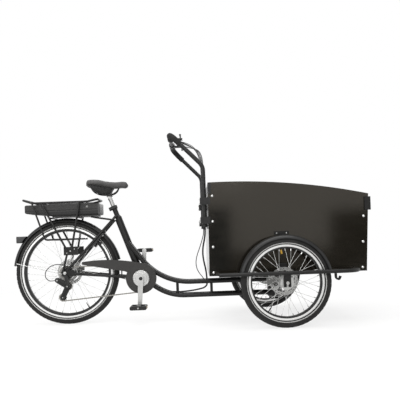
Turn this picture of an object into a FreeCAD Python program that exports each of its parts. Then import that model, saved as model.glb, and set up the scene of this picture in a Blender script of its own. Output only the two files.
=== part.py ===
import FreeCAD
import Part
import math
import os

V = FreeCAD.Vector

# A cargo tricycle in millimetres: X forward, Y to the left, Z up.
# It is laid out with the rear axle over X = 0 and moved to the middle of its box at the end.

# Layout and fits
wheelbase = 1305
cut_overrun = 4
running_gap = 0.05
seat_gap = 0.3

# Wheels
rear_tyre_width = 47
rear_tyre_height = 41
front_tyre_width = 50
front_tyre_height = 42
tyre_wall = 5
rear_rim_dia = 571
front_rim_dia = 418
rim_width = 32
rim_lip = 3
rim_lip_height = 6
rim_nose_width = 16
rear_rim_depth = 27
front_rim_depth = 21
spoke_count = 36
spoke_dia = 2
spoke_bite = 4
flange_thick = 3
front_flange_dia = 76
front_flange_gap = 60
front_hub_outer = 36
front_hub_inner = 81
front_axle_dia = 10
rotor_dia = 160
rotor_thick = 2
rotor_offset = 62
motor_dia = 98
motor_flange_dia = 112
motor_flange_near = 22
motor_flange_far = 34
rear_rotor_y = 50
freewheel_boss_dia = 34
freewheel_boss_end = 61
rear_axle_dia = 12

# Main frame
bb_ahead = 141.5
bb_drop = 50.5
bb_shell_dia = 42
bb_shell_width = 68
bb_shell_wall = 3
seat_tube_lean = 19.8
seat_tube_over_guard = 145
seat_tube_low_dia = 46
seat_tube_top_length = 78
seat_tube_top_dia = 32
seat_post_dia = 27.2
tube_wall = 2
main_tube_dia = 28
main_tube_y = 24
upper_tube_z = 240
upper_tube_slope = 53
upper_tube_joint = 243
upper_tube_bend = 380
lower_tube_z = 156
lower_tube_slope = 35
lower_tube_bend = 310
brace_dia = 16
brace_ahead = 222
brace_spacing = 215
stay_dia = 18
stay_wall = 1.5
stay_top_y = 30
stay_joint_drop = 66
chain_stay_y = 30
chain_stay_straight = 98
dropout_gap = 136
dropout_thick = 6
dropout_radius = 24
bridge_dia = 14

# Steering head
head_dia = 92
head_bottom_z = 132
head_top_z = 264
kingpin_dia = 50
bush_wall = 4
bush_flange = 3
bush_length = 30
kingpin_flange_dia = 130
kingpin_nut_height = 14

# Saddle and post
post_insert = 150
post_rise = 65
saddle_length = 268
saddle_width = 205
saddle_setback = 146
saddle_height = 92
rail_dia = 7
rail_spacing = 44
clamp_height = 22
clamp_wall = 5
lever_length = 52
lever_thick = 6

# Drive
chain_y = -48
chain_pitch = 12.7
ring_teeth = 42
sprocket_teeth = [22, 21, 20, 18, 16, 14]
driven_sprocket = 3
sprocket_pitch = 5
sprocket_thick = 2
pulley_teeth = 11
tooth_height = 4
chain_plate = 1.5
chain_plate_height = 8
chain_pin_dia = 3.6
guide_drop = 82
guide_ahead = 12
tension_drop = 153
tension_ahead = -24
cage_gap = 9
cage_plate = 1.5
cage_pin_dia = 5
derailleur_width = 12
derailleur_behind = 48
derailleur_below = 43
crank_length = 170
crank_tilt = 4
crank_width = 26
crank_thick = 13
crank_y = 72
spindle_dia = 17
spider_dia = 100
pedal_length = 102
pedal_width = 88
pedal_thick = 24
pedal_axle_dia = 9
pedal_inset = 14
guard_disc_dia = 190
guard_rear_ahead = 103
guard_arm_rise = 19
guard_arm_height = 17
guard_plate = 2
guard_y = 56
guard_lip = 9

# Rear mudguard, rack and battery
mudguard_sheet = 2
rear_guard_gap = 16.5
rear_guard_width = 56
rear_guard_start = 12
rear_guard_end = 171
front_guard_gap = 12
front_guard_start = 12
guard_crown = 20
stay_wire_dia = 4
tail_light_angle = 141
tail_light_reach = 45
tail_light_width = 54
tail_light_height = 42
lens_depth = 6
rack_rod_dia = 10
rack_half_width = 80
rack_length = 462
rack_behind_bb = 251
rack_rear_rise = 21
rack_front_rise = 12
rack_bend = 20
rack_strut_over_guard = 97
leg_plate_length = 85
leg_plate_height = 49
leg_plate_thick = 4
leg_plate_lift = 111
pannier_rod_dia = 8
tray_thick = 8
battery_length = 447
battery_width = 140
battery_height = 72
battery_behind_bb = 250
battery_edge = 9
battery_taper_length = 160
battery_taper_rise = 19

# Rim brake
brake_post_dia = 9
brake_post_inset = 47.5
brake_arm_length = 112
brake_arm_width = 16
brake_arm_thick = 11
brake_pad_length = 60
brake_pad_height = 11
brake_pad_gap = 2

# Rear disc brake
rear_caliper_start = 50
rear_caliper_low = 5
rear_caliper_length = 42
rear_caliper_height = 30
rear_caliper_width = 24
rear_carrier_start = 34
rear_carrier_length = 22
rear_carrier_drop = 4
rear_carrier_height = 20
rear_carrier_depth = 13

# Cargo box
box_half_width = 310
wheel_offset = 90
panel_thick = 12
box_bottom_z = 292
box_behind_pivot = 418
box_rear_lean = 8
box_rear_top_z = 828
box_ahead_of_pivot = 480
box_front_lean = 23
box_front_top_z = 732
box_top_crown_z = 809
floor_top_z = 334
floor_thick = 12
floor_gap = 0.5
rail_width = 20
beam_width = 40
pivot_beam_width = 140
post_leg = 24
post_sheet = 2.5
bolt_head_dia = 15
bolt_head_height = 4.5
bolt_dia = 6
bolt_row_z = 312
bolt_row_pitch = 146
strip_width = 18
strip_length = 68
plate_sheet = 3
latch_width = 34
latch_height = 76
latch_thick = 9
bracket_length = 85
bracket_height = 20

# Handlebar
bar_dia = 25.4
bar_wall = 2
bar_inset = 20
bar_setback = 15
bar_foot_z = 574
bar_bend_z = 926
bar_cross_z = 1118
bar_reach = 187
bar_bend = 70
grip_dia = 34
grip_gap = 11
grip_arm_length = 88
clamp_block_height = 40
clamp_block_width = 46
upper_clamp_z = 722
lower_clamp_z = 612
perch_y = 118
perch_width = 22
perch_dia = 36
lever_blade_length = 130
lever_blade_width = 12
lever_blade_thick = 7
lever_reach = 62
lever_pin_dia = 6
shifter_gap = 20
shifter_length = 34
shifter_dia = 37
display_y = -52
display_width = 62
display_depth = 42
display_thick = 14

# Front guards, axles and brakes
side_bar_dia = 22
side_bar_offset = 41
side_bar_rise = 54
side_bar_behind = 371
side_bar_ahead = 411
side_bar_bend = 90
outer_dropout_width = 40
outer_dropout_thick = 5
outer_dropout_drop = 77
inner_dropout_width = 50
inner_dropout_thick = 6
inner_dropout_top = 60
nut_width = 17
nut_height = 8
caliper_length = 46
caliper_height = 40
caliper_width = 30
caliper_slot = 4
caliper_arm_length = 40
caliper_arm_thick = 4

# Cables
cable_dia = 5

# Sizes that follow the wheels, the box and the bar
rear_wheel_dia = rear_rim_dia + 2 * rear_tyre_height
front_wheel_dia = front_rim_dia + 2 * front_tyre_height
rear_r = rear_wheel_dia / 2
front_r = front_wheel_dia / 2
rear_guard_dia = rear_wheel_dia + 2 * rear_guard_gap
front_guard_dia = front_wheel_dia + 2 * front_guard_gap
bb_x = rear_r + bb_ahead
bb_z = rear_r - bb_drop
seat_tube_length = rear_guard_dia / 2 + seat_tube_over_guard
seat_tube_low_length = seat_tube_length - seat_tube_top_length
stay_joint_length = seat_tube_length - stay_joint_drop
brake_post_radius = rear_rim_dia / 2 - brake_post_inset
rack_front_x = bb_x - rack_behind_bb
rack_rear_x = rack_front_x - rack_length
rack_strut_radius = rear_guard_dia / 2 + rack_strut_over_guard
battery_rear_x = bb_x - battery_behind_bb - battery_length
front_track = 2 * (box_half_width + wheel_offset)
box_rear_x = wheelbase - box_behind_pivot
box_front_x = wheelbase + box_ahead_of_pivot
side_bar_y = front_track / 2 + side_bar_offset
side_bar_z = front_r + side_bar_rise
side_bar_rear_x = wheelbase - side_bar_behind
side_bar_front_x = wheelbase + side_bar_ahead
bar_y = box_half_width - bar_inset
grip_length = bar_y - perch_y - perch_width / 2 - grip_gap
shifter_y = perch_y - perch_width / 2 - shifter_gap - shifter_length / 2

nodes = {}
rear_axle = V(0, 0, rear_r)
front_axle = V(wheelbase, front_track / 2, front_r)
bottom_bracket = V(bb_x, 0, bb_z)
seat_dir = V(-math.sin(math.radians(seat_tube_lean)), 0, math.cos(math.radians(seat_tube_lean)))
y_axis = V(0, 1, 0)


def keep(name, *shapes):
    # Files the solids of each shape under a node's name.
    for shape in shapes:
        nodes.setdefault(name, []).extend(shape.Solids)


def mirrored(shape):
    return shape.mirror(V(0, 0, 0), y_axis)


def keep_pair(name, shape):
    keep(name, shape, mirrored(shape))


def fused(shapes):
    whole = shapes[0]
    for shape in shapes[1:]:
        whole = whole.fuse(shape)
    return whole.removeSplitter()


def polar(centre, radius, degrees, y):
    # A point on a circle in an upright plane; 0 degrees is forward and 90 is up.
    turn = math.radians(degrees)
    return V(centre.x + radius * math.cos(turn), y, centre.z + radius * math.sin(turn))


def rod(start, end, dia):
    along = end - start
    return Part.makeCylinder(dia / 2, along.Length, start, along)


def ring(start, end, outer_dia, inner_dia):
    return rod(start, end, outer_dia).cut(rod(start, end, inner_dia))


def block(low, high):
    size = high - low
    return Part.makeBox(size.x, size.y, size.z, low)


def edges_along(shape, axis):
    # The straight edges of a block that run along one axis.
    return [edge for edge in shape.Edges if abs(edge.tangentAt(edge.FirstParameter).dot(axis)) > 0.99]


def closed_wire(points):
    # A pair in the list is an arc: the point it passes and the point it ends at.
    edges = []
    here = points[0]
    for step in list(points[1:]) + [points[0]]:
        if isinstance(step, tuple):
            edges.append(Part.Arc(here, step[0], step[1]).toShape())
            here = step[1]
        elif (step - here).Length > Part.Precision.confusion():
            edges.append(Part.LineSegment(here, step).toShape())
            here = step
    return Part.Wire(edges)


def plate(points, depth):
    # A flat outline pushed along Y.
    return Part.Face(closed_wire(points)).extrude(V(0, depth, 0))


def spun(section, degrees=360):
    # A section of (y, radius) points turned round the Y axis.
    def place(pair):
        return V(0, pair[0], pair[1])
    points = []
    for step in section:
        if isinstance(step[0], tuple):
            points.append((place(step[0]), place(step[1])))
        else:
            points.append(place(step))
    return Part.Face(closed_wire(points)).revolve(V(0, 0, 0), y_axis, degrees)


def bent_path(points, bends):
    # Straight runs joined by tangent arcs, one bend radius for each inner point.
    edges = []
    here = points[0]
    for before, corner, after, bend in zip(points, points[1:], points[2:], bends):
        back = (before - corner).normalize()
        ahead = (after - corner).normalize()
        half_turn = (math.pi - back.getAngle(ahead)) / 2
        tangent = bend * math.tan(half_turn)
        inward = (back + ahead).normalize()
        middle = corner + inward * (bend / math.cos(half_turn) - bend)
        edges.append(Part.LineSegment(here, corner + back * tangent).toShape())
        here = corner + ahead * tangent
        edges.append(Part.Arc(corner + back * tangent, middle, here).toShape())
    edges.append(Part.LineSegment(here, points[-1]).toShape())
    return Part.Wire(edges)


def bent_bar(points, bends, dia):
    path = bent_path(points, bends)
    along = points[1] - points[0]
    section = Part.Wire([Part.makeCircle(dia / 2, points[0], along)])
    return path.makePipeShell([section], True, False)


def bent_tube(points, bends, dia, wall):
    return bent_bar(points, bends, dia).cut(bent_bar(points, bends, dia - 2 * wall))


def stadium(start, end, start_r, end_r, y, depth):
    # A flat link with round ends of two radii, in an upright plane.
    circles = [(start.x, start.z, start_r, 1), (end.x, end.z, end_r, 1)]
    return Part.Face(belt_wire(circles, 0, y)).extrude(V(0, depth, 0))


def belt_wire(circles, offset, y):
    # A band round circles of (x, z, radius, sense), seen from the right side; sense -1 wraps inside out.
    count = len(circles)
    leave = []
    for index in range(count):
        x1, z1, r1, s1 = circles[index]
        x2, z2, r2, s2 = circles[(index + 1) % count]
        lean = (s2 * (r2 + s2 * offset) - s1 * (r1 + s1 * offset)) / math.hypot(x2 - x1, z2 - z1)
        leave.append(math.atan2(z2 - z1, x2 - x1) - math.asin(lean))
    edges = []
    for index in range(count):
        x, z, radius, sense = circles[index]
        reach = radius + sense * offset
        start = leave[index - 1] - sense * math.pi / 2
        sweep = sense * ((sense * (leave[index] - leave[index - 1])) % (2 * math.pi))
        spots = []
        for part in (0, sweep / 2, sweep):
            spots.append(V(x + reach * math.cos(start + part), y, z + reach * math.sin(start + part)))
        if edges:
            edges.append(Part.LineSegment(last, spots[0]).toShape())
        else:
            first = spots[0]
        edges.append(Part.Arc(spots[0], spots[1], spots[2]).toShape())
        last = spots[2]
    edges.append(Part.LineSegment(last, first).toShape())
    return Part.Wire(edges)


def belt_runs(circles):
    # The straight stretches of that band, as pairs of points in its own plane.
    count = len(circles)
    runs = []
    for index in range(count):
        x1, z1, r1, s1 = circles[index]
        x2, z2, r2, s2 = circles[(index + 1) % count]
        turn = math.atan2(z2 - z1, x2 - x1) - math.asin((s2 * r2 - s1 * r1) / math.hypot(x2 - x1, z2 - z1))
        side_x = math.sin(turn)
        side_z = -math.cos(turn)
        start = V(x1 + s1 * r1 * side_x, 0, z1 + s1 * r1 * side_z)
        runs.append((start, V(x2 + s2 * r2 * side_x, 0, z2 + s2 * r2 * side_z)))
    return runs


def on_seat_tube(distance, y=0):
    return bottom_bracket + seat_dir * distance + V(0, y, 0)


def hexagon(centre, height, width):
    # A nut's body along Y.
    corners = []
    for step in range(6):
        corners.append(polar(centre, width / math.sqrt(3), 60 * step, centre.y))
    return plate(corners, height)


def tyre_shape(wheel_dia, width, rim_dia):
    half = width / 2
    centre = wheel_dia / 2 - half
    bead = rim_width / 2 - rim_lip - seat_gap
    seat = rim_dia / 2 - rim_lip_height
    lip = rim_dia / 2 + seat_gap
    shelf = lip + tyre_wall
    outer = math.sqrt(half ** 2 - (centre - lip) ** 2)
    inner = math.sqrt((half - tyre_wall) ** 2 - (centre - shelf) ** 2)
    hollow = bead - tyre_wall
    return spun([
        (bead, seat), (bead, lip), (outer, lip), ((0, wheel_dia / 2), (-outer, lip)), (-bead, lip),
        (-bead, seat), (-hollow, seat), (-hollow, shelf), (-inner, shelf),
        ((0, wheel_dia / 2 - tyre_wall), (inner, shelf)), (hollow, shelf), (hollow, seat)])


def rim_shape(rim_dia, depth):
    half = rim_width / 2
    top = rim_dia / 2
    bed = top - rim_lip_height - seat_gap
    inner = top - depth
    shoulder = inner + 0.3 * depth
    return spun([
        (half, top), (half - rim_lip, top), (half - rim_lip, bed), (rim_lip - half, bed),
        (rim_lip - half, top), (-half, top), (-half, shoulder), (-rim_nose_width / 2, inner),
        (rim_nose_width / 2, inner), (half, shoulder)])


def spoke_set(hub, flanges, flange_dia, rim_inner, crossing):
    # Crossed spokes lie on alternate faces of each flange, so that none touches another.
    rods = []
    for index in range(spoke_count):
        lay = 1 if (index // 2) % 2 else -1
        turn = 360 * index / spoke_count
        hub_y = flanges[index % 2] + lay * (flange_thick + spoke_dia) / 2
        start = polar(V(0, 0, 0), flange_dia / 2 - 1.5 * spoke_dia, turn + lay * crossing, hub_y)
        end = polar(V(0, 0, 0), rim_inner + spoke_bite, turn, 0.6 * lay * spoke_dia)
        rods.append(rod(start, end, spoke_dia))
    return Part.makeCompound(rods).cut(hub)


def rotor_shape(inner_r):
    # A brake disc with a drilled band on six arms.
    far = -rotor_offset - rotor_thick
    disc = spun([
        (far, inner_r), (far, rotor_dia / 2),
        (-rotor_offset, rotor_dia / 2), (-rotor_offset, inner_r)])
    arms = 6
    holes = 4 * arms
    window_share = 0.68
    low = 0.2 * rotor_dia
    high = 0.39 * rotor_dia
    back = far - cut_overrun
    front = cut_overrun - rotor_offset
    window = spun([(back, low), (back, high), (front, high), (front, low)], window_share * 360 / arms)
    cuts = []
    for index in range(arms):
        cuts.append(window.rotated(V(0, 0, 0), y_axis, 360 * index / arms))
    for index in range(holes):
        spot = polar(V(0, 0, 0), 0.45 * rotor_dia, 360 * index / holes, back)
        cuts.append(rod(spot, spot + V(0, front - back, 0), 0.03 * rotor_dia))
    return disc.cut(Part.makeCompound(cuts))


def front_hub():
    bore = front_axle_dia / 2 + running_gap
    flange_r = front_flange_dia / 2
    shell_r = 0.45 * flange_r
    end_r = 0.36 * flange_r
    seat_r = 0.68 * flange_r
    near = front_flange_gap / 2 - flange_thick / 2
    far = front_flange_gap / 2 + flange_thick / 2
    step = 2 * flange_thick
    return spun([
        (-front_hub_inner, bore), (-front_hub_inner, end_r),
        (-rotor_offset, end_r), (-rotor_offset, seat_r),
        (step - rotor_offset, seat_r), (2 * step - rotor_offset, shell_r),
        (-far, shell_r), (-far, flange_r),
        (-near, flange_r), (-near, shell_r), (near, shell_r), (near, flange_r), (far, flange_r),
        (far, shell_r), (front_hub_outer, end_r), (front_hub_outer, bore)]), end_r


def front_wheels():
    rim_inner = front_rim_dia / 2 - front_rim_depth
    hub, end_r = front_hub()
    flanges = (-front_flange_gap / 2, front_flange_gap / 2)
    spokes = spoke_set(hub, flanges, front_flange_dia, rim_inner, 55)
    rotor = rotor_shape(end_r + seat_gap)
    pieces = [
        ("front_tyre", [tyre_shape(front_wheel_dia, front_tyre_width, front_rim_dia)]),
        ("front_rim", [rim_shape(front_rim_dia, front_rim_depth)]),
        ("front_hub", [hub, rotor, spokes])]
    for name, shapes in pieces:
        for shape in shapes:
            left = shape.translated(front_axle)
            keep(name + "_left", left)
            keep(name + "_right", mirrored(left))


def rear_wheel():
    keep("rear_tyre", tyre_shape(rear_wheel_dia, rear_tyre_width, rear_rim_dia).translated(rear_axle))
    keep("rear_rim", rim_shape(rear_rim_dia, rear_rim_depth).translated(rear_axle))
    bore = rear_axle_dia / 2 + running_gap
    drum = motor_dia / 2
    flange = motor_flange_dia / 2
    boss = freewheel_boss_dia / 2
    half = flange_thick / 2
    near = -motor_flange_near
    far = motor_flange_far
    cover = 2 * flange_thick
    hub_end = dropout_gap / 2 - cover
    hub = spun([
        (-freewheel_boss_end, bore), (-freewheel_boss_end, boss),
        (near - cover, boss), (near - cover, 0.8 * drum),
        (near - half, drum), (near - half, flange), (near + half, flange), (near + half, drum),
        (far - half, drum), (far - half, flange), (far + half, flange), (far + half, drum),
        (far + cover, 0.8 * drum), (far + cover, 1.3 * boss), (rear_rotor_y, 1.3 * boss),
        (rear_rotor_y, 0.8 * boss), (hub_end, 0.8 * boss), (hub_end, bore)])
    spokes = spoke_set(hub, (near, far), motor_flange_dia, rear_rim_dia / 2 - rear_rim_depth, 30)
    rotor = rotor_shape(0.8 * boss + seat_gap).translated(y_axis * (rear_rotor_y + rotor_offset + rotor_thick))
    for shape in (hub, rotor, spokes):
        keep("hub_motor", shape.translated(rear_axle))


def toothed_disc(teeth, thick, y):
    # A chain wheel of plain teeth, centred on the Y axis.
    pitch_r = pitch_radius(teeth)
    corners = []
    for index in range(teeth):
        for share, rise in ((-0.32, -0.5), (-0.14, 0.5), (0.14, 0.5), (0.32, -0.5)):
            angle = 360 * (index + share) / teeth
            corners.append(polar(V(0, 0, 0), pitch_r + rise * tooth_height, angle, y))
    return plate(corners, thick)


def pitch_radius(teeth):
    return chain_pitch / (2 * math.sin(math.pi / teeth))


def freewheel():
    boss = freewheel_boss_dia / 2
    first = chain_y + driven_sprocket * sprocket_pitch
    last = first - (len(sprocket_teeth) - 1) * sprocket_pitch
    core_start = first + sprocket_thick / 2
    core_end = last - sprocket_thick
    core = spun([
        (core_start, boss + running_gap), (core_start, 1.4 * boss), (core_end, 1.4 * boss),
        (core_end, boss + running_gap)])
    discs = [core]
    for index, teeth in enumerate(sprocket_teeth):
        y = first - index * sprocket_pitch - sprocket_thick / 2
        disc = toothed_disc(teeth, sprocket_thick, y)
        discs.append(disc.cut(rod(V(0, y - cut_overrun, 0), V(0, y + cut_overrun, 0), 2.6 * boss)))
    keep("freewheel", fused(discs).translated(rear_axle))


def seat_tube_outer():
    # The seat tube with the bottom bracket shell, before boring.
    cone_length = seat_tube_low_dia - seat_tube_top_dia
    low_end = on_seat_tube(seat_tube_low_length)
    low = rod(bottom_bracket, low_end, seat_tube_low_dia)
    cone = Part.makeCone(seat_tube_low_dia / 2, seat_tube_top_dia / 2, cone_length, low_end, seat_dir)
    top = rod(low_end, on_seat_tube(seat_tube_length), seat_tube_top_dia)
    return fused([low, cone, top, bracket_outer(bb_shell_width / 2)])


def bracket_outer(half_width):
    return rod(bottom_bracket - y_axis * half_width, bottom_bracket + y_axis * half_width, bb_shell_dia)


def seat_tube():
    bore = seat_post_dia + 2 * running_gap
    shell_half = y_axis * (bb_shell_width / 2 + cut_overrun)
    cuts = [
        rod(bottom_bracket, on_seat_tube(seat_tube_low_length), seat_tube_low_dia - 2 * tube_wall),
        rod(bottom_bracket, on_seat_tube(seat_tube_length + cut_overrun), bore),
        rod(bottom_bracket - shell_half, bottom_bracket + shell_half, bb_shell_dia - 2 * bb_shell_wall)]
    keep("seat_tube", seat_tube_outer().cut(Part.makeCompound(cuts)))


def upper_tube_points(y):
    start = on_seat_tube(upper_tube_joint, y)
    corner_x = start.x + (start.z - upper_tube_z) / math.tan(math.radians(upper_tube_slope))
    return [start, V(corner_x, y, upper_tube_z), V(wheelbase, y, upper_tube_z)]


def lower_tube_points(y):
    corner_x = bb_x + (bb_z - lower_tube_z) / math.tan(math.radians(lower_tube_slope))
    return [V(bb_x, y, bb_z), V(corner_x, y, lower_tube_z), V(wheelbase, y, lower_tube_z)]


def tube_height(points, slope, bend, x):
    # The height of a main tube's centre line at a place along its bend or its level run.
    end_x = points[1].x + bend * math.tan(math.radians(slope) / 2)
    if x >= end_x:
        return points[1].z
    return points[1].z + bend - math.sqrt(bend ** 2 - (end_x - x) ** 2)


def head_outer():
    return rod(V(wheelbase, 0, head_bottom_z), V(wheelbase, 0, head_top_z), head_dia)


def main_tubes(seat_outer):
    bracket = bracket_outer(bb_shell_width)
    for side in (-1, 1):
        y = side * main_tube_y
        upper = bent_tube(upper_tube_points(y), [upper_tube_bend], main_tube_dia, tube_wall)
        keep("upper_main_tubes", upper.cut(seat_outer).cut(head_outer()))
        lower = bent_tube(lower_tube_points(y), [lower_tube_bend], main_tube_dia, tube_wall)
        keep("lower_main_tubes", lower.cut(seat_outer).cut(bracket).cut(head_outer()))
        upper_solid = bent_bar(upper_tube_points(y), [upper_tube_bend], main_tube_dia)
        lower_solid = bent_bar(lower_tube_points(y), [lower_tube_bend], main_tube_dia)
        for step in range(2):
            x = bb_x + brace_ahead + step * brace_spacing
            foot = V(x, y, tube_height(lower_tube_points(y), lower_tube_slope, lower_tube_bend, x))
            top = V(x, y, tube_height(upper_tube_points(y), upper_tube_slope, upper_tube_bend, x))
            keep("lower_main_tubes", rod(foot, top, brace_dia).cut(upper_solid).cut(lower_solid))
            tie = rod(foot, V(x, 0, foot.z), brace_dia)
            keep("lower_main_tubes", tie.cut(lower_solid))


def steering_head():
    bore = kingpin_dia + 2 * bush_wall
    low = V(wheelbase, 0, head_bottom_z)
    high = V(wheelbase, 0, head_top_z)
    keep("head_tube", ring(low, high, head_dia, bore))
    inner = kingpin_dia + 2 * running_gap
    outer = bore - 2 * running_gap
    for end, away in ((low, V(0, 0, -1)), (high, V(0, 0, 1))):
        sleeve = rod(end - away * bush_length, end, outer)
        collar = rod(end, end + away * bush_flange, bore + 4 * bush_wall)
        hole = rod(end - away * (bush_length + cut_overrun), end + away * (bush_flange + cut_overrun), inner)
        keep("frame_bearings", sleeve.fuse(collar).cut(hole))


def bearing_cups():
    half = bb_shell_width / 2
    bore = bb_shell_dia - 2 * bb_shell_wall - 2 * running_gap
    for side in (-1, 1):
        face = bottom_bracket + y_axis * (side * half)
        sleeve = rod(face - y_axis * (side * 0.5 * half), face, bore)
        collar = rod(face, face + y_axis * (side * bb_shell_wall), bb_shell_dia)
        through = y_axis * (half + cut_overrun)
        hole = rod(bottom_bracket - through, bottom_bracket + through, spindle_dia + 2 * running_gap)
        keep("frame_bearings", sleeve.fuse(collar).cut(hole))


def dropout_y():
    return dropout_gap / 2 + dropout_thick / 2


def chain_stay_points(y_sign):
    toward = (bottom_bracket - rear_axle).normalize()
    knee = bottom_bracket - toward * chain_stay_straight
    foot = rear_axle + toward * (2.5 * dropout_radius)
    return [
        bottom_bracket + y_axis * (y_sign * chain_stay_y), knee + y_axis * (y_sign * chain_stay_y),
        foot + y_axis * (y_sign * dropout_y())]


def seat_stay_points(y_sign):
    foot = polar(rear_axle, dropout_radius, 48, y_sign * dropout_y())
    return [foot, on_seat_tube(stay_joint_length, y_sign * stay_top_y)]


def on_stay(radius):
    # The point of the left seat stay at a distance from the rear axle, seen from the side.
    foot, top = seat_stay_points(1)
    offset = V(foot.x - rear_axle.x, 0, foot.z - rear_axle.z)
    along = V(top.x - foot.x, 0, top.z - foot.z)
    half_b = offset.dot(along)
    square = along.dot(along)
    share = (math.sqrt(half_b ** 2 - square * (offset.dot(offset) - radius ** 2)) - half_b) / square
    return foot + (top - foot) * share


def stay_lean():
    foot, top = seat_stay_points(1)
    return math.degrees(math.atan2(top.x - foot.x, top.z - foot.z))


def rear_stays(seat_outer):
    bracket = bracket_outer(bb_shell_width)
    axle_hole = rod(
        rear_axle - y_axis * dropout_gap, rear_axle + y_axis * dropout_gap, rear_axle_dia + 2 * running_gap)
    chain_points = chain_stay_points(1)
    stay_points = seat_stay_points(1)
    start_y = dropout_gap / 2
    tongue = 0.6 * dropout_radius
    dropout = fused([
        stadium(rear_axle, chain_points[2], dropout_radius, tongue, start_y, dropout_thick),
        stadium(rear_axle, stay_points[0], dropout_radius, tongue, start_y, dropout_thick)]).cut(axle_hole)
    bend = 2 * chain_stay_straight
    chain_stay = bent_tube(chain_points, [bend], stay_dia, stay_wall)
    chain_stay = chain_stay.cut(dropout).cut(seat_outer).cut(bracket)
    keep_pair("chain_stays", dropout)
    keep_pair("chain_stays", chain_stay)
    stay = bent_bar(stay_points, [], stay_dia)
    hollow = bent_bar(stay_points, [], stay_dia - 2 * stay_wall)
    keep_pair("seat_stays", stay.cut(hollow).cut(dropout).cut(bent_bar(chain_points, [bend], stay_dia)))
    bridges = [
        (on_stay(rear_guard_dia / 2 + bridge_dia / 2 + seat_gap), bridge_dia),
        (stay_points[1], stay_dia)]
    for spot, dia in bridges:
        bridge = rod(V(spot.x, 0, spot.z), spot, dia)
        keep_pair("seat_stays", bridge.cut(stay).cut(seat_outer))


def rim_brake():
    # Each arm turns on a post on the front face of its seat stay.
    spot = on_stay(brake_post_radius)
    lean = stay_lean()
    reach = stay_dia / 2 + seat_gap
    arm_low = -0.75 * brake_arm_width
    pad_rise = rear_rim_dia / 2 - 1.5 * rim_lip_height - brake_post_radius
    post = rod(V(0, 0, 0), V(reach + brake_arm_thick + brake_post_dia / 2, 0, 0), brake_post_dia)
    arm = block(
        V(reach, -brake_arm_width / 2, arm_low),
        V(reach + brake_arm_thick, brake_arm_width / 2, brake_arm_length + arm_low))
    arm = arm.cut(rod(
        V(reach - cut_overrun, 0, 0), V(reach + brake_arm_thick + cut_overrun, 0, 0),
        brake_post_dia + 2 * running_gap))
    pad_in = rim_width / 2 + brake_pad_gap - spot.y
    stem_x = reach + brake_arm_thick / 2
    stem = rod(V(stem_x, pad_in, pad_rise), V(stem_x, 0, pad_rise), brake_post_dia)
    pad = block(
        V(stem_x - brake_pad_length / 2, pad_in, pad_rise - brake_pad_height / 2),
        V(stem_x + brake_pad_length / 2, pad_in + brake_pad_height, pad_rise + brake_pad_height / 2))
    arm = fused([arm, stem, pad])

    def place(shape):
        return shape.rotated(V(0, 0, 0), y_axis, lean).translated(spot)
    stay = bent_bar(seat_stay_points(1), [], stay_dia)
    keep_pair("seat_stays", place(post).cut(stay))
    keep("brake_arm_left", place(arm))
    keep("brake_arm_right", mirrored(place(arm)))


def rear_axle_set():
    half = dropout_gap / 2
    face = half + dropout_thick
    end = face + 2 * nut_height
    hub_end = half - 2 * flange_thick + seat_gap
    collar_dia = 1.7 * rear_axle_dia
    axle = rod(rear_axle - y_axis * end, rear_axle + y_axis * end, rear_axle_dia)
    near = rod(rear_axle - y_axis * half, rear_axle - y_axis * (freewheel_boss_end + seat_gap), collar_dia)
    far = rod(rear_axle + y_axis * hub_end, rear_axle + y_axis * half, collar_dia)
    keep("rear_axle", fused([axle, near, far]))
    nut = hexagon(rear_axle + y_axis * face, nut_height, 1.5 * rear_axle_dia)
    keep_pair("rear_axle", nut.cut(axle))


def rear_caliper():
    # A closed caliper between the left stays, on a carrier that seats against the dropout's inner face.
    rotor_y = rear_rotor_y + rotor_thick / 2
    corner = rear_axle + V(rear_caliper_start, rotor_y - rear_caliper_width / 2, rear_caliper_low)
    body = block(corner, corner + V(rear_caliper_length, rear_caliper_width, rear_caliper_height))
    body = body.makeFillet(0.2 * rear_caliper_height, edges_along(body, y_axis))
    slot = rod(
        rear_axle + y_axis * (rotor_y - caliper_slot / 2), rear_axle + y_axis * (rotor_y + caliper_slot / 2),
        rotor_dia + 2 * caliper_slot)
    face = rear_axle + V(rear_carrier_start, dropout_gap / 2, -rear_carrier_drop)
    carrier = block(
        face - y_axis * rear_carrier_depth, face + V(rear_carrier_length, 0, rear_carrier_height))
    keep("rear_axle", body.fuse(carrier).cut(slot).removeSplitter())


def mudguard_shape(dia, width, start, end):
    # A crowned strip of sheet bent round a wheel; the angles run from forward over the top.
    radius = dia / 2
    half = width / 2
    edge = radius - guard_crown
    inner = radius - mudguard_sheet
    strip = spun([
        (-half, edge), ((0, radius), (half, edge)), (half, edge - mudguard_sheet),
        ((0, inner), (-half, edge - mudguard_sheet))], end - start)
    return strip.rotated(V(0, 0, 0), y_axis, 90 - end)


def rear_mudguard():
    guard = mudguard_shape(rear_guard_dia, rear_guard_width, rear_guard_start, rear_guard_end)
    keep("rear_mudguard", guard.translated(rear_axle))
    edge_y = rear_guard_width / 2 + stay_wire_dia / 2 + seat_gap
    foot_y = dropout_gap / 2 + dropout_thick + 0.8 * stay_wire_dia
    foot = polar(rear_axle, 0.8 * dropout_radius, 200, foot_y)
    tip = polar(rear_axle, rear_guard_dia / 2 - guard_crown - mudguard_sheet, 168, edge_y)
    keep_pair("mudguard_stays", rod(foot, tip, stay_wire_dia))


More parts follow.
